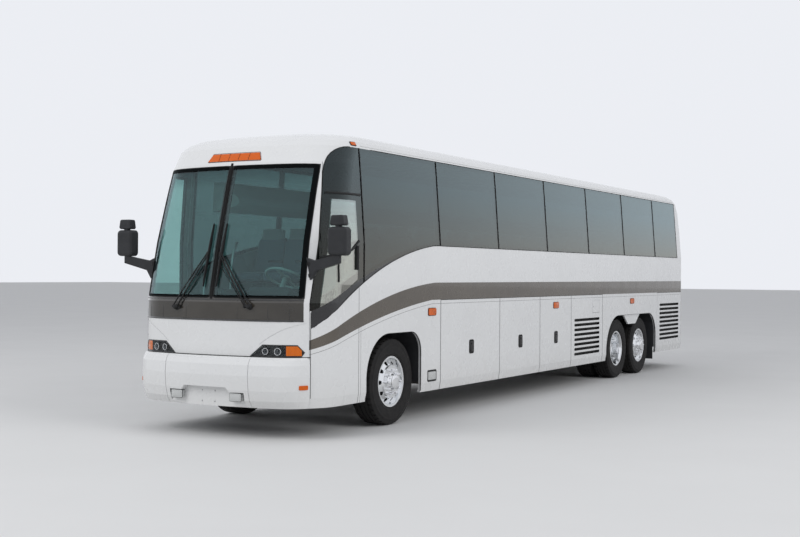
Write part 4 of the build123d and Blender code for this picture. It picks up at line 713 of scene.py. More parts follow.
def joined(parts):
    """Several bmeshes as one."""
    whole = bmesh.new()
    for part in parts:
        mesh = bpy.data.meshes.new("part")
        part.to_mesh(mesh)
        part.free()
        whole.from_mesh(mesh)
        bpy.data.meshes.remove(mesh)
    return whole


def block(size, edge, centre=(0, 0, 0)):
    """A box with rounded edges."""
    bm = sized_cube(size)
    bevelled(bm, bm.edges, edge)
    return moved(bm, *centre)


def tablet(size, corner, centre=(0, 0, 0), axis=0, edge=0.0):
    """A slab with rounded corners about one axis and, where edge is given, eased rims."""
    bm = sized_cube(size)
    uprights = [rim for rim in bm.edges if abs((rim.verts[0].co - rim.verts[1].co)[axis]) > HAIR]
    bevelled(bm, uprights, corner, 5)
    if edge:
        limit = size[axis] / 2 - HAIR
        bevelled(bm, [rim for rim in bm.edges if all(abs(vert.co[axis]) > limit for vert in rim.verts)], edge)
    return moved(bm, *centre)


def tray(size, corner, rim, depth, centre, out):
    """A tablet whose cap towards out is sunk by depth, inside a rim."""
    axis = max(range(3), key=lambda index: abs(out[index]))
    bm = tablet(size, corner, axis=axis)
    cap = max(bm.faces, key=lambda face: face.calc_center_median().dot(Vector(out)) + face.calc_area() * HAIR)
    for width in (rim, rim * 0.1):
        bmesh.ops.inset_individual(bm, faces=[cap], thickness=width)
    bmesh.ops.translate(bm, verts=cap.verts, vec=Vector(out) * -depth)
    return moved(bm, *centre)


def grown_verts(bm, faces):
    """Extrudes faces and gives the new points, to be moved."""
    grown = bmesh.ops.extrude_face_region(bm, geom=faces)
    return [item for item in grown["geom"] if isinstance(item, bmesh.types.BMVert)]


def plate(points, depth, edge=0.0):
    """A flat outline pushed out by a vector, with eased edges where edge is given."""
    bm = bmesh.new()
    face = bm.faces.new([bm.verts.new(point) for point in points])
    bmesh.ops.translate(bm, verts=grown_verts(bm, [face]), vec=depth)
    bmesh.ops.recalc_face_normals(bm, faces=bm.faces)
    if edge:
        bevelled(bm, bm.edges, edge)
    return bm


def turned(section, steps, closed=False):
    """A ring spun about the X axis from a section of along-axis and radius points."""
    bm = bmesh.new()
    points = [bm.verts.new((along, 0, radius)) for along, radius in section]
    edges = [bm.edges.new(pair) for pair in zip(points, points[1:])]
    if closed:
        edges.append(bm.edges.new((points[-1], points[0])))
    around = {"cent": (0, 0, 0), "axis": (1, 0, 0), "angle": math.tau, "steps": steps}
    bmesh.ops.spin(bm, geom=points + edges, use_merge=True, **around)
    bmesh.ops.remove_doubles(bm, verts=bm.verts, dist=WELD)
    return bm


def facing(bm, spot, normal):
    """Turns a shape made along X to look along a normal, and puts it on a spot."""
    return shifted(bm, normal.to_track_quat("X", "Z").to_matrix().to_4x4(), Matrix.Translation(spot))


EASE_STEPS = 4


def eased(corners, radius):
    """A closed flat outline with its corners rounded."""
    outline = []
    for index, corner in enumerate(corners):
        here = Vector(corner)
        before = (Vector(corners[index - 1]) - here).normalized() * radius
        after = (Vector(corners[(index + 1) % len(corners)]) - here).normalized() * radius
        for step in range(EASE_STEPS + 1):
            share = step / EASE_STEPS
            outline.append(here + before * (1 - share) ** 2 + after * share**2)
    return outline


def stepped(points, reach=0.12):
    """An open flat run with points added, so that none are further apart than reach."""
    spots = [Vector(points[0])]
    for start, end in zip(points, points[1:]):
        run = Vector(end) - Vector(start)
        count = max(1, math.ceil(run.length / reach))
        spots += [Vector(start) + run * step / count for step in range(1, count + 1)]
    return spots


def loop(corners, radius, reach=0.12):
    """A closed flat outline with rounded corners and evenly close points."""
    outline = eased(corners, radius)
    return stepped(outline + outline[:1], reach)[:-1]


def rod(start, end, radius, steps=10):
    """A round bar between two points."""
    run = Vector(end) - Vector(start)
    bm = bmesh.new()
    bmesh.ops.create_cone(bm, cap_ends=True, segments=steps, radius1=radius, radius2=radius, depth=run.length)
    turn = run.to_track_quat("Z", "Y").to_matrix().to_4x4()
    return shifted(bm, turn, Matrix.Translation((Vector(start) + Vector(end)) / 2))


def tube_along(points, radius, cyclic=False, smooth=False, slim_ends=False):
    """A bead of round section along a run of points, slimmer towards its ends where that is asked."""
    curve = bpy.data.curves.new("bead", "CURVE")
    curve.dimensions = "3D"
    curve.bevel_depth = radius
    curve.bevel_resolution = 2
    curve.use_fill_caps = not cyclic
    line = curve.splines.new("NURBS" if smooth else "POLY")
    line.points.add(len(points) - 1)
    for step, (spot, point) in enumerate(zip(line.points, points)):
        spot.co = (*point, 1)
        if slim_ends:
            spot.radius = 0.4 + 0.6 * math.sin(math.pi * step / (len(points) - 1))
    line.use_cyclic_u = cyclic
    if smooth:
        line.order_u = 3
        line.use_endpoint_u = not cyclic
    holder = bpy.data.objects.new("bead", curve)
    mesh = bpy.data.meshes.new_from_object(holder)
    bm = bmesh.new()
    bm.from_mesh(mesh)
    bpy.data.objects.remove(holder)
    bpy.data.curves.remove(curve)
    bpy.data.meshes.remove(mesh)
    return bm


SKIN_ENDINGS = ("_door", "_glass", "_cap", "_panel", "_panels", "_bumper", "_window", "_windows", "_walls")
SKIN_OTHERS = ("roof", "roof_coves", "front_mask", "windscreen", "headlamps")
SKIN_NODES = [
    name for name in NODES if name.endswith(SKIN_ENDINGS) or "_bay_door_" in name or name in SKIN_OTHERS
]


def skin_tree():
    """The coach's outer skin, to set details on."""
    bm = bmesh.new()
    for name in SKIN_NODES:
        bm.from_mesh(NODES[name].data)
    tree = BVHTree.FromBMesh(bm)
    bm.free()
    return tree


SKIN = skin_tree()
OUTSIDE_SIDE = 2.2
OUTSIDE_END = 8.0


def skin_spot(start, way, proud=0.0):
    """Where a line from outside first meets the skin, stood off by proud, and the skin's direction there."""
    hit, normal, _, _ = SKIN.ray_cast(Vector(start), Vector(way))
    return hit - Vector(way) * proud, normal


def side_spot(side, station, height, proud=0.0):
    """A point on the side's skin."""
    return skin_spot((side * OUTSIDE_SIDE, station, height), (-side, 0, 0), proud)[0]


def front_spot(across, height, proud=0.0):
    """A point on the front's skin."""
    return skin_spot((across, -OUTSIDE_END, height), (0, 1, 0), proud)[0]


def rear_spot(across, height, proud=0.0):
    """A point on the rear's skin."""
    return skin_spot((across, OUTSIDE_END, height), (0, -1, 0), proud)[0]


def front_bead(outline, radius, proud=0.0, cyclic=True):
    """A bead along a flat outline seen from the front."""
    return tube_along([front_spot(across, height, proud) for across, height in outline], radius, cyclic)


def side_bead(side, outline, radius, proud=0.0, cyclic=False):
    """A bead along a flat outline seen from the side."""
    spots = [side_spot(side, station, height, proud) for station, height in outline]
    return tube_along(spots, radius, cyclic)


def rear_bead(outline, radius, proud=0.0):
    """A closed bead along a flat outline seen from behind."""
    return tube_along([rear_spot(across, height, proud) for across, height in outline], radius, True)


def rectangle(wide, tall, centre=(0, 0)):
    """The four corners of a flat rectangle, by its half width and half height."""
    x, y = centre
    return [(x - wide, y - tall), (x + wide, y - tall), (x + wide, y + tall), (x - wide, y + tall)]


# Wheels and tyres
TREAD_STEPS = 160
TYRE_WIDTH = 0.3
TURN_STEPS = [math.tau * step / 72 for step in range(72)]
GROOVES = (0.082, 0.029)
GROOVE_HALF = 0.0055
GROOVE_DEPTH = 0.014
CROWN_DROP = 0.0055
TREAD_EDGE = 0.12
SHOULDER_RADIUS = TYRE_RADIUS - CROWN_DROP
CUT_FROM = SHOULDER_RADIUS - 0.012
CUT_DEPTH = 0.011
CUT_EVERY = 4
SIDEWALL = (
    *((0.110, 0.291), (0.116, 0.309), (0.129, 0.316), (0.134, 0.322), (0.1395, 0.338), (0.142, 0.341)),
    *((0.1435, 0.348), (0.1425, 0.352), (0.147, 0.378), (0.150, 0.405), (0.1495, 0.430), (0.1475, 0.452)),
    *((0.149, 0.455), (0.148, 0.462), (0.1445, 0.466), (0.139, 0.490), (0.133, 0.510)),
)


def tyre_section():
    """One tyre's section: bead, sidewall rings, shoulder and grooved tread, outer half then mirrored."""
    half = [*SIDEWALL, (TREAD_EDGE, SHOULDER_RADIUS)]
    for across in GROOVES:
        crown = TYRE_RADIUS - CROWN_DROP * (across / TREAD_EDGE) ** 2
        floor = crown - GROOVE_DEPTH
        half += [(across + GROOVE_HALF, crown), (across + GROOVE_HALF * 0.6, floor)]
        half += [(across - GROOVE_HALF * 0.6, floor), (across - GROOVE_HALF, crown)]
    return half + [(-across, radius) for across, radius in reversed(half)]


def road_tyre():
    """A tyre centred on the X axis, with cross cuts in the shoulder ribs."""
    bm = turned(tyre_section(), TREAD_STEPS)
    cuts = []
    for face in bm.faces:
        middle = face.calc_center_median()
        step = int(math.floor(math.atan2(middle.z, middle.y) / math.tau * TREAD_STEPS))
        shoulder = abs(middle.x) > GROOVES[0] + GROOVE_HALF and math.hypot(middle.y, middle.z) > CUT_FROM
        if shoulder and step % CUT_EVERY == 0:
            cuts.append(face)
    for vert in grown_verts(bm, cuts):
        vert.co.yz = vert.co.yz * (1 - CUT_DEPTH / math.hypot(vert.co.y, vert.co.z))
    bmesh.ops.delete(bm, geom=cuts, context="FACES")
    return bm


STUDS = 10
STUD_CIRCLE = 0.143
HUB_SCREWS = 8
HUB_SCREW_CIRCLE = 0.062
HUB_SCREW = ((-0.002, 0), (-0.002, 0.0075), (0.0035, 0.0075), (0.0035, 0))
DISC_FACE = {"front": 0.138, "drive": -0.15}
NUT_LENGTH = {"front": 0.046, "drive": 0.034}
NUT_SECTION = ((0, 0), (0, 0.021), (0.006, 0.021), (0.006, 0.0165), (1, 0.0155), (1.008, 0.009), (1.01, 0))
HUB_SECTION = {
    "front": (
        *((0.138, 0.0), (0.138, 0.112), (0.145, 0.112), (0.149, 0.106), (0.154, 0.1), (0.158, 0.088)),
        *((0.188, 0.083), (0.195, 0.078), (0.198, 0.068), (0.199, 0.03), (0.199, 0.0)),
    ),
    "drive": (
        *((-0.155, 0.0), (-0.155, 0.116), (-0.14, 0.116), (-0.136, 0.112), (0.012, 0.098)),
        *((0.018, 0.094), (0.022, 0.088), (0.03, 0.082), (0.034, 0.06), (0.035, 0.0)),
    ),
}
DRUM_SECTION = {
    "front": (
        *((0.035, 0.12), (0.035, 0.205), (-0.105, 0.212), (-0.11, 0.205)),
        *((-0.11, 0.198), (0.02, 0.19), (0.02, 0.12)),
    ),
    "drive": ((-0.19, 0.12), (-0.19, 0.2), (-0.33, 0.2), (-0.33, 0.12)),
}
RIM_BEAD = 0.0035
RIM_RING = (0.128, 0.305)
VALVE_LEAN = math.radians(40)
VALVE_FOOT = (0.075, 0, 0.272)


def stud_ring(count, circle, along, shape):
    """Copies of a shape set round the X axis at a radius."""
    ring = []
    for step in range(count):
        turn = Matrix.Rotation(math.tau * (step + 0.5) / count, 4, "X")
        ring.append(shifted(shape.copy(), turn @ Matrix.Translation((along, 0, circle))))
    shape.free()
    return ring


def nut_cover(length):
    """A six-sided nut cover with a flange and a domed end, along the X axis."""
    stretch = [(along if along < 0.5 else along - 1 + length, radius) for along, radius in NUT_SECTION]
    return turned(stretch, 6)


def ring_bead(along, radius, thickness, angles):
    """A round bead about the X axis."""
    return tube_along([(along, radius * math.cos(a), radius * math.sin(a)) for a in angles], thickness, True)


def valve():
    """A tyre valve with its cap, leaning out of the rim."""
    stem = joined([rod((0, 0, 0), (0.05, 0, 0), 0.005, 8), rod((0.045, 0, 0), (0.062, 0, 0), 0.0065, 8)])
    return shifted(stem, Matrix.Rotation(VALVE_LEAN, 4, "Y"), Matrix.Translation(VALVE_FOOT))


def dress_wheels():
    """Treaded tyres, nut covers, hub covers, rim beads, valves and brake drums."""
    for side_name, side in SIDES:
        for place_name in ("front", "drive", "tag"):
            wheel = f"{side_name}_{place_name}"
            kind = "drive" if place_name == "drive" else "front"
            low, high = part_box(f"{wheel}_tyre")
            _, station, height = (low + high) / 2
            outer = side * (max(abs(low.x), abs(high.x)) - TYRE_WIDTH / 2)
            inner = side * (min(abs(low.x), abs(high.x)) + TYRE_WIDTH / 2)
            middles = [outer] if kind == "front" else [outer, inner]
            tyres = [moved(road_tyre(), x, station, height) for x in middles]
            tyre = add_piece(f"{wheel}_treaded_tyre", tyres, TYRE, body=f"{wheel}_roller")
            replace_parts(tyre, f"{wheel}_tyre")
            nuts = stud_ring(STUDS, STUD_CIRCLE, DISC_FACE[kind], nut_cover(NUT_LENGTH[kind]))
            hub_end = HUB_SECTION[kind][-1][0]
            screws = stud_ring(HUB_SCREWS, HUB_SCREW_CIRCLE, hub_end - 0.002, turned(HUB_SCREW, 6))
            for label, shapes, finish, sharp in (
                ("nut_covers", nuts, CHROME, 20),
                ("hub_cover", [turned(HUB_SECTION[kind], 48)] + screws, CHROME, 25),
                ("rim_trim", [ring_bead(*RIM_RING, RIM_BEAD, TURN_STEPS), valve()], CHROME, 40),
                ("brake_drum", [turned(DRUM_SECTION[kind], 48, closed=True)], CAST_IRON, 30),
            ):
                shape = flipped(joined(shapes), side, (outer, station, height))
                add_piece(f"{wheel}_{label}", shape, finish, sharp, f"{wheel}_roller")


# The front: windscreen, band, lamps, bumper and wipers
TOWARDS_FRONT = Vector((0, -1, 0))
SCREEN_BEAD = 0.006
SCREEN_CORNER = 0.035
SCREEN_LOOP = [
    (BAR_HALF, SCREEN_BOTTOM),
    (SCREEN_EDGE_LOW, SCREEN_BOTTOM),
    (SCREEN_EDGE_HIGH, SCREEN_TOP),
    (BAR_HALF, SCREEN_TOP),
]
BAND_SEAMS = (0.36, 0.74, 0.98)
BAND_LINES = ((BAND_BOTTOM + 0.004, 0.011), (SCREEN_BOTTOM - 0.02, 0.009))


def sides_of(outline):
    """A flat outline and its mirror image."""
    return (outline, [(-across, height) for across, height in outline])


def dress_windscreen():
    """Black gaskets round each half, the centre bar and the band's trim lines."""
    beads = [front_bead(outline, SCREEN_BEAD) for outline in sides_of(loop(SCREEN_LOOP, SCREEN_CORNER))]
    for x in (-0.007, 0.007):
        run = stepped([(x, SCREEN_BOTTOM - 0.01), (x, SCREEN_TOP + 0.03)])
        beads.append(front_bead(run, 0.008, 0.002, cyclic=False))
    add_piece("windscreen_gaskets", beads, RUBBER_SEAL, 60)
    lines = []
    for z, radius in BAND_LINES:
        lines.append(front_bead(stepped([(-SCREEN_EDGE_LOW, z), (SCREEN_EDGE_LOW, z)]), radius, cyclic=False))
    for seam in BAND_SEAMS:
        for x in (-seam, seam):
            run = stepped([(x, BAND_BOTTOM), (x, SCREEN_BOTTOM - 0.028)])
            lines.append(front_bead(run, 0.0025, cyclic=False))
    add_piece("band_trim_lines", lines, GLOSS_BLACK, 60)


COVER_CUTS = 14
COVER_PROUD = 0.001
COVER_THICKNESS = 0.003


def mask_front(across):
    """Station of the mask's upright front at a point across."""
    across = abs(across)
    if across <= CORNER_START:
        return FRONT_FACE + FRONT_BOW - math.sqrt(FRONT_BOW**2 - across**2)
    return CORNER_CENTRE[1] - math.sqrt(CORNER_RADIUS**2 - (across - CORNER_CENTRE[0]) ** 2)


def cover_sheet(outline, proud, thickness):
    """A thin cover over an outline on the mask, bent to the mask's front."""
    wide, tall = zip(*outline)
    middle = Vector(((min(wide) + max(wide)) / 2, 0, (min(tall) + max(tall)) / 2))
    bm = bmesh.new()
    bmesh.ops.create_grid(bm, x_segments=COVER_CUTS, y_segments=2, size=0.5)
    stretch = Matrix.Diagonal((max(wide) - min(wide), max(tall) - min(tall), 1, 1))
    shifted(bm, stretch, Matrix.Rotation(math.pi / 2, 4, "X"), Matrix.Translation(middle))
    for start, end in zip(outline, outline[1:] + outline[:1]):
        corner = Vector((start[0], 0, start[1]))
        outward = (Vector((end[0], 0, end[1])) - corner).cross(Vector((0, 1, 0)))
        if outward.dot(middle - corner) > 0:
            outward = -outward
        whole = bm.verts[:] + bm.edges[:] + bm.faces[:]
        bmesh.ops.bisect_plane(bm, geom=whole, plane_co=corner, plane_no=outward, clear_outer=True)
    for vert in bm.verts:
        vert.co.y = mask_front(vert.co.x) - proud
    bmesh.ops.recalc_face_normals(bm, faces=bm.faces)
    bmesh.ops.solidify(bm, geom=bm.faces, thickness=thickness)
    return bm


LENS_DOME = ((0.002, 0.02), (0.009, 0.0185), (0.013, 0.012), (0.0145, 0.0))


def dress_headlamps():
    """Metal bowls with domed lenses and chrome rings, and a rimmed clear cover on each cluster."""
    bowls, lenses, rings, rims, covers = [], [], [], [], []
    for sign in (-1, 1):
        for across, radius in ROUND_LAMPS:
            spot, normal = skin_spot((sign * across, -OUTSIDE_END, ROUND_LAMP_Z), (0, 1, 0))
            bowl = ((0.001, radius - 0.006), (0.006, radius - 0.004), (0.003, radius * 0.6), (0.002, 0))
            bowls.append(facing(turned(bowl, 32), spot, normal))
            lenses.append(facing(turned(LENS_DOME, 24), spot, normal))
            rings.append(facing(ring_bead(0.005, radius - 0.008, 0.003, TURN_STEPS[::2]), spot, normal))
        outline = [(sign * across, height) for across, height in HEADLAMP]
        covers.append(cover_sheet(outline, COVER_PROUD, COVER_THICKNESS))
        edge = stepped(outline + outline[:1], 0.04)[:-1]
        rims.append(tube_along([(x, mask_front(x) - COVER_PROUD, z) for x, z in edge], 0.005, True))
    add_piece("headlamp_bowls", bowls, LAMP_BOWL, 40)
    add_piece("headlamp_lenses", lenses, LAMP_COVER, 40)
    add_piece("headlamp_rings", rings, CHROME, 50)
    add_piece("headlamp_rims", rims, GLOSS_BLACK, 50)
    add_piece("headlamp_covers", covers, LAMP_COVER, 40)


MARKER_CUTS = (-0.21, -0.07, 0.07, 0.21)
MARKER_CUT_ENDS = (3.112, 3.2)
MARKER_FRAME = [(-0.382, 3.105), (0.382, 3.105), (0.335, 3.207), (-0.335, 3.207)]
EDGE_MARKER = (-5.727, 3.317)
EDGE_LENS = (0.022, 0.084, 0.042)
EDGE_BASE = (0.012, 0.098, 0.056)
SIDE_MARKERS = ((-3.985, 1.35), (3.731, 1.363))
SIDE_BASE = (0.005, 0.214, 0.101)
DOOR_MARKER = (0.111, 1.355)
DOOR_LENS = (0.015, 0.204, 0.091)
DOOR_BASE = (0.005, 0.216, 0.103)


def dress_markers():
    """Amber lenses, with dividers and dark bases, along the roof's front and edges and the sides."""
    dark = []
    for cut_at in MARKER_CUTS:
        run = stepped([(cut_at, end) for end in MARKER_CUT_ENDS], 0.03)
        dark.append(tube_along([front_spot(x, z, 0.0125) for x, z in run], 0.0018))
    dark.append(front_bead(loop(MARKER_FRAME, 0.01), 0.003))
    lamps = bmesh.new()
    lamps.from_mesh(NODES["marker_lamps"].data)
    upper = [vert for vert in lamps.verts if vert.co.z > EDGE_MARKER[1] - 0.06]
    bmesh.ops.delete(lamps, geom=upper, context="VERTS")
    lenses = [lamps]
    for side in (-1, 1):
        for marker in SIDE_MARKERS:
            dark.append(tablet(SIDE_BASE, 0.024, (side * (HALF_WIDTH + 0.002), *marker)))
        for size, shapes in ((EDGE_LENS, lenses), (EDGE_BASE, dark)):
            spot, normal = skin_spot((side * OUTSIDE_SIDE, *EDGE_MARKER), (-side, 0, 0))
            shapes.append(facing(tablet(size, 0.01, edge=0.002), spot, normal))
    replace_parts(add_piece("amber_markers", lenses, AMBER, 30), "marker_lamps")
    add_piece("marker_bases", dark, RUBBER_SEAL, 40)
    for side_name, side in SIDES:
        leaf = f"{side_name}_bay_door_3_leaf"
        lamp = tablet(DOOR_LENS, 0.021, (side * (HALF_WIDTH + 0.0065), *DOOR_MARKER), edge=0.004)
        add_piece(f"{side_name}_door_marker_lens", lamp, AMBER, 30, leaf)
        base = tablet(DOOR_BASE, 0.024, (side * (HALF_WIDTH + 0.002), *DOOR_MARKER))
        add_piece(f"{side_name}_door_marker_base", base, RUBBER_SEAL, 40, leaf)


PAD_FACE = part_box("small_lamps")[0].y
FOG_LAMP = (0.412, 0.462)
FOG_HALF = (0.079, 0.044)
FOG_LENS = (0.128, 0.006, 0.058)
SIDE_LAMP = (-3.975, 0.54)
SIDE_TRAY = (0.012, 0.246, 0.146)
SIDE_LENS = (0.006, 0.17, 0.078)


def dress_small_lamps():
    """Outlines and lenses of the fog lamps on the pad and the square lamps behind the front wheels."""
    dark, glass = [], []
    for sign in (-1, 1):
        x, z = sign * FOG_LAMP[0], FOG_LAMP[1]
        frame_line = eased(rectangle(*FOG_HALF, (x, z)), 0.014)
        dark.append(tube_along([(u, PAD_FACE + 0.004, v) for u, v in frame_line], 0.0035, True))
        glass.append(tablet(FOG_LENS, 0.012, (x, PAD_FACE - 0.001, z), 1, 0.002))
        spot = (sign * (HALF_WIDTH - 0.012), *SIDE_LAMP)
        dark.append(tray(SIDE_TRAY, 0.024, 0.016, 0.006, spot, (sign, 0, 0)))
        glass.append(tablet(SIDE_LENS, 0.01, (sign * (HALF_WIDTH + 0.002), *SIDE_LAMP), edge=0.002))
    add_piece("small_lamp_surrounds", dark, SATIN_BLACK, 40)
    add_piece("small_lamp_lenses", glass, CLEAR, 30)


BUMPER_SEAM_END = 1.16
PLATE_MIDDLE = 0.455
SCREW_ACROSS = 0.0889
SCREW_UP = 0.0603
BESIDE_HOLE = 0.007
WASHER = ((0, 0.0045), (0, 0.009), (0.002, 0.008), (0.002, 0.0045))


def dress_bumper():
    """The seam strip between bumper and mask, and the plate screws' washers."""
    level = BUMPER_TOP + 0.003
    seam = stepped([(-BUMPER_SEAM_END, level), (BUMPER_SEAM_END, level)], 0.05)
    add_piece("bumper_seam_strip", front_bead(seam, 0.0045, 0.001, cyclic=False), RUBBER_SEAL, 60)
    washers = []
    for x, z in rectangle(SCREW_ACROSS, SCREW_UP, (0, PLATE_MIDDLE)):
        ring = facing(turned(WASHER, 16, closed=True), front_spot(x + BESIDE_HOLE, z), TOWARDS_FRONT)
        washers.append(moved(ring, -BESIDE_HOLE, 0, 0))
    add_piece("plate_screw_washers", washers, STEEL, 30)


# Each wiper: its pivot, the blade's lower and upper end and where the arm grips the blade
WIPERS = (
    ((-0.509, 1.433), (-0.12, 1.67), (-0.094, 2.385), (-0.107, 2.04)),
    ((0.524, 1.453), (0.067, 1.67), (0.091, 2.385), (0.079, 2.04)),
)
PIVOT_CAP = ((0, 0), (0, 0.034), (0.012, 0.032), (0.02, 0.022), (0.046, 0.021), (0.05, 0.014), (0.05, 0))
LINK_CAP = ((0, 0), (0, 0.014), (0.03, 0.012), (0.03, 0))
ARM_HEAD = Vector((0, -0.036, 0.012))
RODS_APART = 0.03
ROD_RADIUS = 0.0085
BRIDGES = ((0.06, 0.46), (0.54, 0.94))


def between(first, second, share=0.5):
    """A flat point part of the way from one to another."""
    return [start + (end - start) * share for start, end in zip(first, second)]


def dress_wipers():
    """Each wiper: a capped pivot, an arm of two rods, a thinner link, a bridged blade and its rubber."""
    arms, rubbers = [], []
    for pivot, low, high, grip in WIPERS:
        root = front_spot(*pivot)
        sign = 1 if pivot[0] > 0 else -1
        arms.append(facing(turned(PIVOT_CAP, 24), root, TOWARDS_FRONT))
        halfway = between(pivot, grip)
        for shift in (-RODS_APART, RODS_APART):
            start = root + ARM_HEAD + Vector((shift, 0, 0))
            middle = front_spot(halfway[0] + shift * 0.85, halfway[1], 0.05)
            end = front_spot(grip[0] + shift * 0.45, grip[1], 0.036)
            arms.append(tube_along([start, middle, end], ROD_RADIUS, smooth=True))
        arms.append(block((0.085, 0.02, 0.03), 0.008, root + ARM_HEAD))
        link_start = root + Vector((-sign * 0.06, -0.02, 0.0))
        arms.append(facing(turned(LINK_CAP, 16), front_spot(link_start.x, pivot[1]), TOWARDS_FRONT))
        arms.append(tube_along([link_start, front_spot(grip[0] - sign * 0.012, grip[1] - 0.1, 0.032)], 0.004))
        arms.append(block((0.034, 0.022, 0.05), 0.006, front_spot(*grip, 0.036)))
        line = [front_spot(x, z, 0.012) for x, z in stepped([low, between(low, high), high], 0.09)]
        rubbers.append(tube_along(line, 0.015, slim_ends=True))
        arms.append(tube_along([point + TOWARDS_FRONT * 0.015 for point in line], 0.013, slim_ends=True))
        for start, end in BRIDGES:
            heights = ((start, 0.026), ((start + end) / 2, 0.04), (end, 0.026))
            spots = [front_spot(*between(low, high, share), proud) for share, proud in heights]
            arms.append(tube_along(spots, 0.005, smooth=True))
    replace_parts(add_piece("wiper_arms", arms, SATIN_BLACK, 50), "wipers")
    add_piece("wiper_rubbers", rubbers, RUBBER_SEAL, 50)


MIRROR_X = 1.509
MIRROR_BACK = -6.466
MIRROR_PANE = (0.206, 0.004, 0.278)
MIRROR_PANE_Z = 2.176
WIDE_PANE = [(-0.076, 2.362), (0.076, 2.362), (0.062, 2.44), (-0.062, 2.44)]
HOUSING_SEAM = (0.1185, 0.155)
HOUSING_SEAM_PLACE = (-6.49, 2.176)
COLLAR_PLACE = (1.115, -6.482)
COLLAR_LEVELS = (1.8, 1.93)


def dress_mirrors():
    """Mirror glass in each housing's back, a parting seam and the arm's pivot collars."""
    glass, seams = [], []
    for sign in (-1, 1):
        middle = sign * MIRROR_X
        glass.append(tablet(MIRROR_PANE, 0.034, (middle, MIRROR_BACK + 0.004, MIRROR_PANE_Z), 1))
        outline = [(middle + x, MIRROR_BACK - 0.012, z) for x, z in eased(WIDE_PANE, 0.012)]
        glass.append(plate(outline, (0, 0.005, 0)))
        for height in COLLAR_LEVELS:
            collar = rod((0, 0, -0.02), (0, 0, 0.02), 0.033, 20)
            seams.append(moved(collar, sign * COLLAR_PLACE[0], COLLAR_PLACE[1], height))
        station, height = HOUSING_SEAM_PLACE
        line = eased(rectangle(*HOUSING_SEAM, (middle, height)), 0.05)
        seams.append(tube_along([(x, station, z) for x, z in line], 0.0015, True))
    add_piece("mirror_faces", glass, MIRROR_GLASS, 30)
    add_piece("mirror_collars", seams, SATIN_BLACK, 40)


# The sides: glass band seals, handles, grilles, the filler's fasteners and the entrance door
PANE_START = -3.765
PANE_PITCH = 1.767
PANE_EDGES = [CAP_SEAM] + [PANE_START + PANE_PITCH * step for step in range(6)]
GLASS_BEAD = 0.0045
BAND_FRONT = -6.5
LEAN_LEVELS = (1.43, 1.5, 1.7, 1.9, 2.19, 2.5, 2.75)
MASK_SEAM = (0.46, 1.4)
SASH_BARS = (
    (((-6.23, 2.73), (-5.69, 2.73)), 0.014),
    (((-6.39, 2.003), (-5.908, 2.094), (-5.76, 2.2)), 0.013),
    (((-6.17, 1.73), (-6.17, 2.04)), 0.01),
    (((-5.8, 1.87), (-5.8, 2.15)), 0.026),
)


def sill_height(station):
    """Height of the glass band's lower edge at a station."""
    centre_y, centre_z, radius, level = SILL_LINE
    if station >= centre_y:
        return level
    return min(level, centre_z + math.sqrt(radius**2 - (station - centre_y) ** 2))


def front_edge(height):
    """Station of the side glass's leaning front edge at a height."""
    return SEAM_FRONT + max(0, height - BELT) * RAKE


def leaning_edge():
    """The driver's side glass along its leaning front edge and round its corner."""
    line = [(front_edge(z), z) for z in LEAN_LEVELS]
    lean = math.atan(RAKE)
    for step in range(9):
        angle = math.pi - lean - (math.pi / 2 - lean) * step / 8
        x, z = GLASS_CORNER_RADIUS * math.cos(angle), GLASS_CORNER_RADIUS * math.sin(angle)
        line.append((GLASS_CORNER[0] + x, GLASS_CORNER[1] + z))
    return line


def dress_glass_band():
    """Seals between the panes and round the glass band, and the sash frame of the driver's window."""
    beads = []
    for side in (-1, 1):
        start = BAND_FRONT if side > 0 else CAP_SEAM
        lower = [(station, sill_height(station)) for station in [start + 0.15 * step for step in range(22)]]
        lower.append((GLASS_END, sill_height(GLASS_END)))
        beads.append(side_bead(side, stepped(lower, 0.4), GLASS_BEAD, 0.001))
        upper = [(GLASS_CORNER[0] if side > 0 else CAP_SEAM, GLASS_TOP), (GLASS_END, GLASS_TOP)]
        beads.append(side_bead(side, stepped(upper, 0.6), GLASS_BEAD, 0.001))
        if side > 0:
            beads.append(side_bead(side, leaning_edge(), GLASS_BEAD, 0.001))
        for station in PANE_EDGES + [GLASS_END]:
            if side > 0 or station > CAP_SEAM:
                seam = stepped([(station, sill_height(station)), (station, GLASS_TOP)], 0.15)
                beads.append(side_bead(side, seam, GLASS_BEAD, 0.0 if station == GLASS_END else 0.005))
        seam = stepped([(SEAM_FRONT + 0.008, end) for end in MASK_SEAM], 0.15)
        beads.append(side_bead(side, seam, 0.004, -0.002))
    add_piece("glass_band_seals", beads, RUBBER_SEAL, 60)
    frame_bars = [side_bead(1, stepped(run, 0.08), radius, 0.003) for run, radius in SASH_BARS]
    add_piece("driver_window_sash", frame_bars, SATIN_BLACK, 60)


HANDLE_Z = 0.855
HANDLE_RECESS = (0.018, 0.149, 0.189)
HANDLE_PADDLE = (0.02, 0.114, 0.152)
HANDLE_LIP = (0.012, 0.094, 0.022)
LOCK_BARREL = ((0, 0), (0, 0.013), (0.005, 0.012), (0.006, 0.009), (0.003, 0.007), (0.003, 0))
FLAP_LOCK = ((0, 0), (0, 0.011), (0.004, 0.01), (0.005, 0.0))
FLAP_LOCK_PLACE = (1.76, 1.302)
DOOR_PULL_PLACE = (-5.86, 1.05)


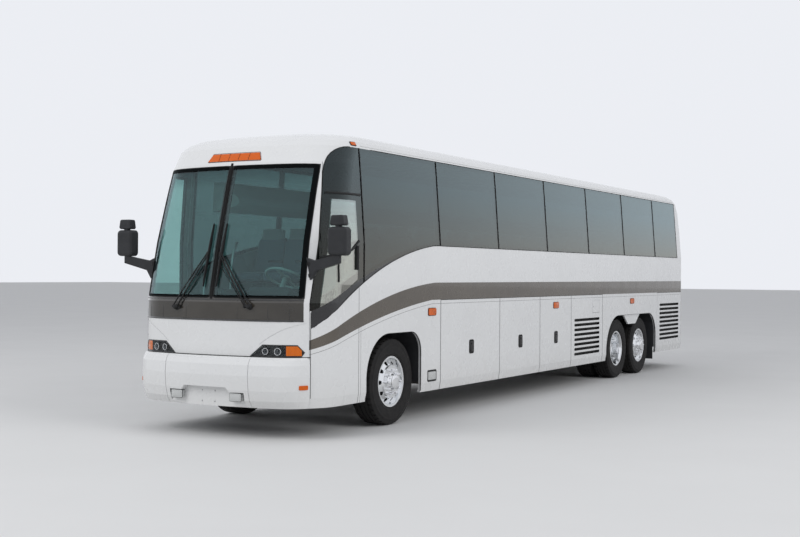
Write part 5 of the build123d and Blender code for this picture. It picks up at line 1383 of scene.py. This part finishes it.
def paddle_handle(name, side):
    """A black paddle in a black tray at a door's middle, with a lock barrel above the paddle's finger lip."""
    low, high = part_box(name)
    station = (low.y + high.y) / 2

    def spot(proud, raised=0.0):
        return (side * (HALF_WIDTH + proud), station, HANDLE_Z + raised)

    shapes = [
        tray(HANDLE_RECESS, 0.031, 0.005, 0.014, spot(-0.0085), (side, 0, 0)),
        tablet(HANDLE_PADDLE, 0.017, spot(-0.006), edge=0.004),
        block(HANDLE_LIP, 0.004, spot(0.004, -0.055)),
        flipped(turned(LOCK_BARREL, 20), side, spot(0.003, 0.04)),
    ]
    add_piece(f"{name}_handle", shapes, SATIN_BLACK, 30, f"{name}_leaf")


def dress_handles():
    """Handles on the luggage and battery doors, the service flap's lock and the entrance door's pull."""
    for name, side in BAY_DOORS + [("battery_door", -1)]:
        paddle_handle(name, side)
    lock = moved(turned(FLAP_LOCK, 16), HALF_WIDTH - 0.001, *FLAP_LOCK_PLACE)
    add_piece("service_flap_lock", lock, STEEL, 30, "condenser_door_leaf")
    spot = side_spot(-1, *DOOR_PULL_PLACE)
    pull = [
        tablet((0.016, 0.06, 0.2), 0.02, spot - Vector((0.001, 0, 0)), edge=0.003),
        tablet((0.014, 0.036, 0.13), 0.014, spot - Vector((0.012, 0, 0)), edge=0.004),
    ]
    add_piece("entrance_door_pull", pull, SATIN_BLACK, 30, "entrance_door_leaf")


GRILLE_DOORS = (
    ("condenser_door", 1, 0.47, 1.16),
    ("radiator_door", 1, 0.53, 1.33),
    ("engine_side_door", -1, 0.53, 1.33),
)
MESH_DEPTH = 0.0385
WIRE_ENDS = 0.13
ENGINE_MESH = (0.78, 0.27)
ENGINE_MESH_Z = 1.1


def dress_grilles():
    """Black mesh behind the louvres of the side grilles and the engine door: wires before a near-black sheet
    that stands in as painted shade for the dark space behind.
    """
    for name, side, low_z, high_z in GRILLE_DOORS:
        low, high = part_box(name)
        inner = side * (HALF_WIDTH - MESH_DEPTH)
        size = (0.003, (high.y - low.y) * 0.86, high_z - low_z)
        shapes = [tablet(size, 0.02, (inner, (low.y + high.y) / 2, (low_z + high_z) / 2))]
        for step in range(1, 6):
            height = low_z + (high_z - low_z) * step / 6
            ends = [(inner + side * 0.004, y, height) for y in (low.y + WIRE_ENDS, high.y - WIRE_ENDS)]
            shapes.append(rod(*ends, 0.0025, 6))
        add_piece(f"{name}_mesh", shapes, GRILLE_MESH_AND_PAINTED_SHADE, 30, f"{name}_leaf")
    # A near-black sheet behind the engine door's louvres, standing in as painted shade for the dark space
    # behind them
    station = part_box("engine_door")[0].y + 0.004
    back = plate([(x, station, z) for x, z in rectangle(*ENGINE_MESH, (0, ENGINE_MESH_Z))], (0, 0.003, 0))
    add_piece("engine_door_mesh", back, GRILLE_MESH_AND_PAINTED_SHADE, 30, "engine_door_leaf")


FILLER_START = 3.405
FASTENERS = 9
FASTENER_PITCH = 0.09
FASTENER_Z = 1.095
FASTENER = ((0, 0), (0, 0.0085), (0.003, 0.007), (0.0045, 0.0))


def dress_filler():
    """A row of small domed fasteners along the top of the filler between the rear arches."""
    for side_name, side in SIDES:
        heads = []
        for step in range(FASTENERS):
            spot = (side * (HALF_WIDTH - 0.0145), FILLER_START + FASTENER_PITCH * step, FASTENER_Z)
            heads.append(flipped(turned(FASTENER, 12), side, spot))
        add_piece(f"{side_name}_filler_fasteners", heads, STEEL, 40)


# Each pair of arches: its front and rear station and the radii of its two upper corners
ARCH_EDGES = ((-5.575, -4.257, 0.52, 0.26), (2.385, 5.125, 0.64, 0.42))
ARCH_TOP = 1.12
ARCH_FOOT = 0.37


def arch_line(front, rear, front_radius, rear_radius):
    """A wheel arch's edge from the skirt up, over and down."""
    turns = [math.pi / 2 * step / 8 for step in range(9)]
    shares = [(1 - math.cos(angle), 1 - math.sin(angle)) for angle in turns]
    up = [(front + front_radius * along, ARCH_TOP - front_radius * below) for along, below in shares]
    down = [(rear - rear_radius * along, ARCH_TOP - rear_radius * below) for below, along in shares]
    return [(front, ARCH_FOOT), *up, *down, (rear, ARCH_FOOT)]


def dress_arches():
    """A thin rubber lip just inside each wheel arch's edge."""
    beads = []
    for arch in ARCH_EDGES:
        line = stepped(arch_line(*arch), 0.3)
        for side in (-1, 1):
            beads.append(tube_along([(side * (HALF_WIDTH - 0.012), y, z) for y, z in line], 0.006))
    add_piece("arch_lips", beads, RUBBER_SEAL, 60)


NOSING = (0.035, 0.5, 0.006)
NOSING_TOP = (-0.765, -5.99, 0.843)
STEP_RUN = 0.23
STEP_RISE = 0.22
GRAB_RAILS = (
    ((-0.5, -6.32, 1.07), (-0.5, -6.32, 1.75), (-0.5, -6.2, 1.95), (-0.5, -5.9, 2.0)),
    ((-0.6, -5.68, 1.4), (-0.6, -5.68, 2.1), (-0.6, -5.55, 2.2)),
)


def dress_entrance():
    """The door pane's seal, step nosings and grab rails inside the entrance."""
    low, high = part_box("entrance_glass")
    corners = [
        (front_edge(low.z) + 0.081, low.z),
        (high.y, low.z),
        (high.y, high.z),
        (front_edge(high.z) + 0.082, high.z),
        (front_edge(BELT) + 0.081, BELT + 0.02),
    ]
    seal = side_bead(-1, loop(corners, 0.02, 0.08), 0.006, 0.001, cyclic=True)
    add_piece("entrance_pane_seal", seal, RUBBER_SEAL, 60, "entrance_door_leaf")
    x, y, z = NOSING_TOP
    nosings = [block(NOSING, 0.002, (x - STEP_RUN * step, y, z - STEP_RISE * step)) for step in range(3)]
    add_piece("step_nosings", nosings, STEEL, 30)
    add_piece("grab_rails", [tube_along(run, 0.016, smooth=True) for run in GRAB_RAILS], STEEL, 60)


# The rear
TAIL_LAMP = (1.04, 1.05)
TAIL_BEZEL = (0.083, 0.328)
TAIL_DIVIDER = 0.074
HIGH_MARKERS = (-0.95, -0.18, 0.0, 0.18, 0.95)
HIGH_MARKER_Z = 3.12
BRAKE_LIGHT_Z = 3.055
PLATE_Z = 0.72
LATCH_PLACES = ((-0.6, 0.66), (0.6, 0.66))


def dress_rear():
    """Window seal, lamp bezels, high markers, blank plate and door latches."""
    low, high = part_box("rear_window")
    pane = rectangle((high.x - low.x) / 2, (high.z - low.z) / 2, ((low.x + high.x) / 2, (low.z + high.z) / 2))
    beads = [rear_bead(loop(pane, 0.09), 0.008)]
    for sign in (-1, 1):
        x = sign * TAIL_LAMP[0]
        beads.append(rear_bead(loop(rectangle(*TAIL_BEZEL, (x, TAIL_LAMP[1])), 0.045, 0.06), 0.006, 0.001))
        for height in TAIL_LEVELS:
            run = stepped([(x - TAIL_DIVIDER, height), (x + TAIL_DIVIDER, height)], 0.05)
            beads.append(tube_along([rear_spot(u, v, 0.0125) for u, v in run], 0.003))
    add_piece("rear_seals", beads, RUBBER_SEAL, 60)
    lamps = [block((0.11, 0.03, 0.035), 0.008, rear_spot(x, HIGH_MARKER_Z, -0.002)) for x in HIGH_MARKERS]
    lamps.append(block((0.5, 0.026, 0.03), 0.007, rear_spot(0, BRAKE_LIGHT_Z, -0.002)))
    add_piece("rear_high_markers", lamps, RED, 40)
    spot = rear_spot(0, PLATE_Z)
    holder = [tray((0.345, 0.012, 0.175), 0.012, 0.01, 0.006, spot + Vector((0, 0.003, 0)), (0, 1, 0))]
    for x in (-0.12, 0.12):
        holder.append(block((0.09, 0.03, 0.022), 0.005, spot + Vector((x, 0.004, 0.105))))
    add_piece("plate_holder", holder, SATIN_BLACK, 30, "engine_door_leaf")
    blank = tablet((0.305, 0.003, 0.152), 0.012, spot + Vector((0, 0.0055, 0)), 1)
    add_piece("blank_plate", blank, PAINT, 30, "engine_door_leaf")
    latches = [tablet((0.14, 0.014, 0.05), 0.012, rear_spot(x, z, 0.004), 1, 0.003) for x, z in LATCH_PLACES]
    add_piece("engine_door_latches", latches, SATIN_BLACK, 30, "engine_door_leaf")


# The roof
HATCH_HALF = 0.3
DRIP_RAIL_UP = 0.03


def dress_roof():
    """Seals round the hatches and drip rails over the glass."""
    beads = []
    for label in ("front_hatch", "rear_hatch"):
        low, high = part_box(label)
        reach = HATCH_HALF + 0.004
        flat = loop(rectangle(reach, reach, (0, (low.y + high.y) / 2)), 0.02)
        beads.append(tube_along([(x, y, ROOF_TOP - 0.004) for x, y in flat], 0.004, True))
    add_piece("hatch_seals", beads, RUBBER_SEAL, 60)
    level = GLASS_TOP + DRIP_RAIL_UP
    run = stepped([(CAP_SEAM + 0.05, level), (GLASS_END - 0.05, level)], 0.6)
    add_piece("drip_rails", [side_bead(side, run, 0.0065) for side in (-1, 1)], PAINT, 60)


# Inside: seats, driver's place and parcel racks
SEAT_ROWS = 13
SEAT_FIRST = -4.9
SEAT_PITCH = 0.86
PAIR_X = 0.725
SEAT_APART = 0.225
SEAT_FORM = (0.46, 0.435)
DRIVER_SEAT = (0.65, -6.08, 1.06, 0.48, 0.49)
BACK_RAKE = math.radians(12.2)
LEAN = Matrix.Rotation(-BACK_RAKE, 4, "X")
UPRIGHT = Matrix.Rotation(math.pi / 2, 4, "X")
BELLOWS = (0.65, -5.83, 1.12)


PAD_CUTS = 5
PINCH = 0.05
BULGE = 0.04
CHANNEL_DEPTH = 0.86


def pad(size, crown=0.2, channel=None):
    """A stuffed form: crowned faces, sides drawn in between the corners, and a sewn channel along a line."""
    bm = bmesh.new()
    bmesh.ops.create_cube(bm, size=2)
    bmesh.ops.subdivide_edges(bm, edges=bm.edges, cuts=PAD_CUTS, use_grid_fill=True)
    for vert in bm.verts:
        x, y, z = vert.co
        inward_x, inward_y = 1 - x * x, 1 - y * y
        bulge = 1 + BULGE * (1 - z * z)
        vert.co.x = x * (1 - PINCH * inward_y) * bulge
        vert.co.y = y * (1 - PINCH * inward_x) * bulge
        vert.co.z = z * (1 - crown + crown * inward_x * inward_y)
        if channel is not None and abs(y - channel) < 0.1 and abs(x) < 0.9:
            vert.co.z *= CHANNEL_DEPTH
    every_way = {f"use_axis_{axis}": True for axis in "xyz"}
    for _ in range(2):
        bmesh.ops.smooth_vert(bm, verts=bm.verts, factor=0.5, **every_way)
    reach = []
    for axis in range(3):
        along = [vert.co[axis] for vert in bm.verts]
        reach.append(size[axis] / (max(along) - min(along)))
    return shifted(bm, Matrix.Diagonal(reach).to_4x4())


def soft_piece(name, shape, finish):
    """A padded piece, made smoother by one subdivision."""
    made = add_piece(name, shape, finish, 180)
    smooth = made.modifiers.new("smooth", "SUBSURF")
    smooth.levels = smooth.render_levels = 1
    return made


def seat_parts(x, front, floor, cushion_height, wide):
    """Cushion, back and headrest of one seat, placed."""
    top = floor + cushion_height
    cushion = moved(pad((wide, 0.44, 0.13), channel=-0.34), x, front + 0.222, top - 0.062)
    back = shifted(pad((wide, 0.52, 0.1), channel=0.34), UPRIGHT, LEAN)
    rest = shifted(pad((wide * 0.8, 0.17, 0.1), 0.22), UPRIGHT, LEAN)
    return cushion, moved(back, x, front + 0.535, top + 0.2), moved(rest, x, front + 0.6, top + 0.49)


def seat_frame(x, front, floor, cushion_height, wide, legs):
    """A shell behind the back and, for a pair, the rail and pedestal that carry it."""
    top = floor + cushion_height
    shell = shifted(tablet((wide * 0.94, 0.02, 0.56), 0.05, axis=1, edge=0.006), LEAN)
    pan = block((wide * 0.96, 0.36, 0.02), 0.006, (x, front + 0.24, top - 0.132))
    frame_parts = [moved(shell, x, front + 0.592, top + 0.19), pan]
    if legs:
        rise = cushion_height - 0.135
        frame_parts.append(block((0.07, 0.2, rise), 0.01, (x, front + 0.25, floor + rise / 2)))
        frame_parts.append(block((0.3, 0.26, 0.016), 0.005, (x, front + 0.25, floor + 0.009)))
    return frame_parts


def dress_seats():
    """Rows of seat pairs and the driver's seat in place of their plain solids."""
    cushions, backs, rests, frames = [], [], [], []
    for row in range(SEAT_ROWS):
        front = SEAT_FIRST + row * SEAT_PITCH
        for side in (-1, 1):
            for apart in (-SEAT_APART, SEAT_APART):
                x = side * PAIR_X + apart
                for group, part in zip((cushions, backs, rests), seat_parts(x, front, FLOOR_TOP, *SEAT_FORM)):
                    group.append(part)
                frames += seat_frame(x, front, FLOOR_TOP, *SEAT_FORM, apart * side < 0)
            for x in (side * 0.3, side * PAIR_X):
                frames.append(block((0.035, 0.3, 0.035), 0.01, (x, front + 0.34, FLOOR_TOP + 0.6)))
    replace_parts(soft_piece("seat_cushions", cushions, SEAT_CLOTH), "seats")
    soft_piece("seat_backs", backs, SEAT_CLOTH)
    soft_piece("seat_headrests", rests, HEADREST_TRIM)
    add_piece("seat_frames", frames, PLASTIC, 40)
    cushion, back, rest = seat_parts(*DRIVER_SEAT)
    soft_piece("driver_cushion", cushion, SEAT_CLOTH)
    soft_piece("driver_back", [back, rest], SEAT_CLOTH)
    frames = seat_frame(*DRIVER_SEAT, True)
    x, y, z = BELLOWS
    for step in range(5):
        frames.append(block((0.34, 0.34, 0.03 + 0.01 * (step % 2)), 0.012, (x, y, z + 0.045 * step)))
    add_piece("driver_seat_base", frames, PLASTIC, 40)


RACK_SECTION = (
    *((1.15, 2.6), (0.8, 2.66), (0.735, 2.69), (0.72, 2.73)),
    *((0.74, 2.77), (0.98, 2.97), (1.13, 2.98)),
)
RACK_START = -5.35
RACK_LENGTH = 11.6
HOOD_PITCH = math.radians(-14)
DIAL = ((0, 0), (0, 0.045), (0.006, 0.045), (0.008, 0.041), (0.004, 0.038), (0.004, 0))
DIALS_ACROSS = (0.54, 0.65, 0.76)


def dress_cabin():
    """Parcel racks along both sides, the instrument hood with its gauges and the shelf beside it."""
    racks = []
    for side in (-1, 1):
        section = [(side * x, RACK_START, z) for x, z in RACK_SECTION]
        racks.append(plate(section, (0, RACK_LENGTH, 0), 0.008))
    add_piece("parcel_racks", racks, RACK_LINING, 30)
    hood = shifted(tablet((0.56, 0.24, 0.1), 0.045, axis=1, edge=0.015), Matrix.Rotation(HOOD_PITCH, 4, "X"))
    shelf = block((0.34, 0.2, 0.12), 0.02, (0.12, -6.47, 1.58))
    add_piece("instrument_hood", [moved(hood, 0.65, -6.5, 1.6), shelf], PLASTIC, 30)
    tilt = Vector((0, 1, 0.25)).normalized()
    dials = [facing(turned(DIAL, 28), Vector((x, -6.385, 1.625)), tilt) for x in DIALS_ACROSS]
    add_piece("instrument_dials", dials, STEEL, 30)


def main():
    """Builds the whole scene."""
    dress_frame()
    set_camera()
    lay_floor()
    light_studio()
    dress_wheels()
    dress_windscreen()
    dress_headlamps()
    dress_markers()
    dress_small_lamps()
    dress_bumper()
    dress_wipers()
    dress_mirrors()
    dress_glass_band()
    dress_handles()
    dress_grilles()
    dress_filler()
    dress_arches()
    dress_entrance()
    dress_rear()
    dress_roof()
    dress_seats()
    dress_cabin()


main()
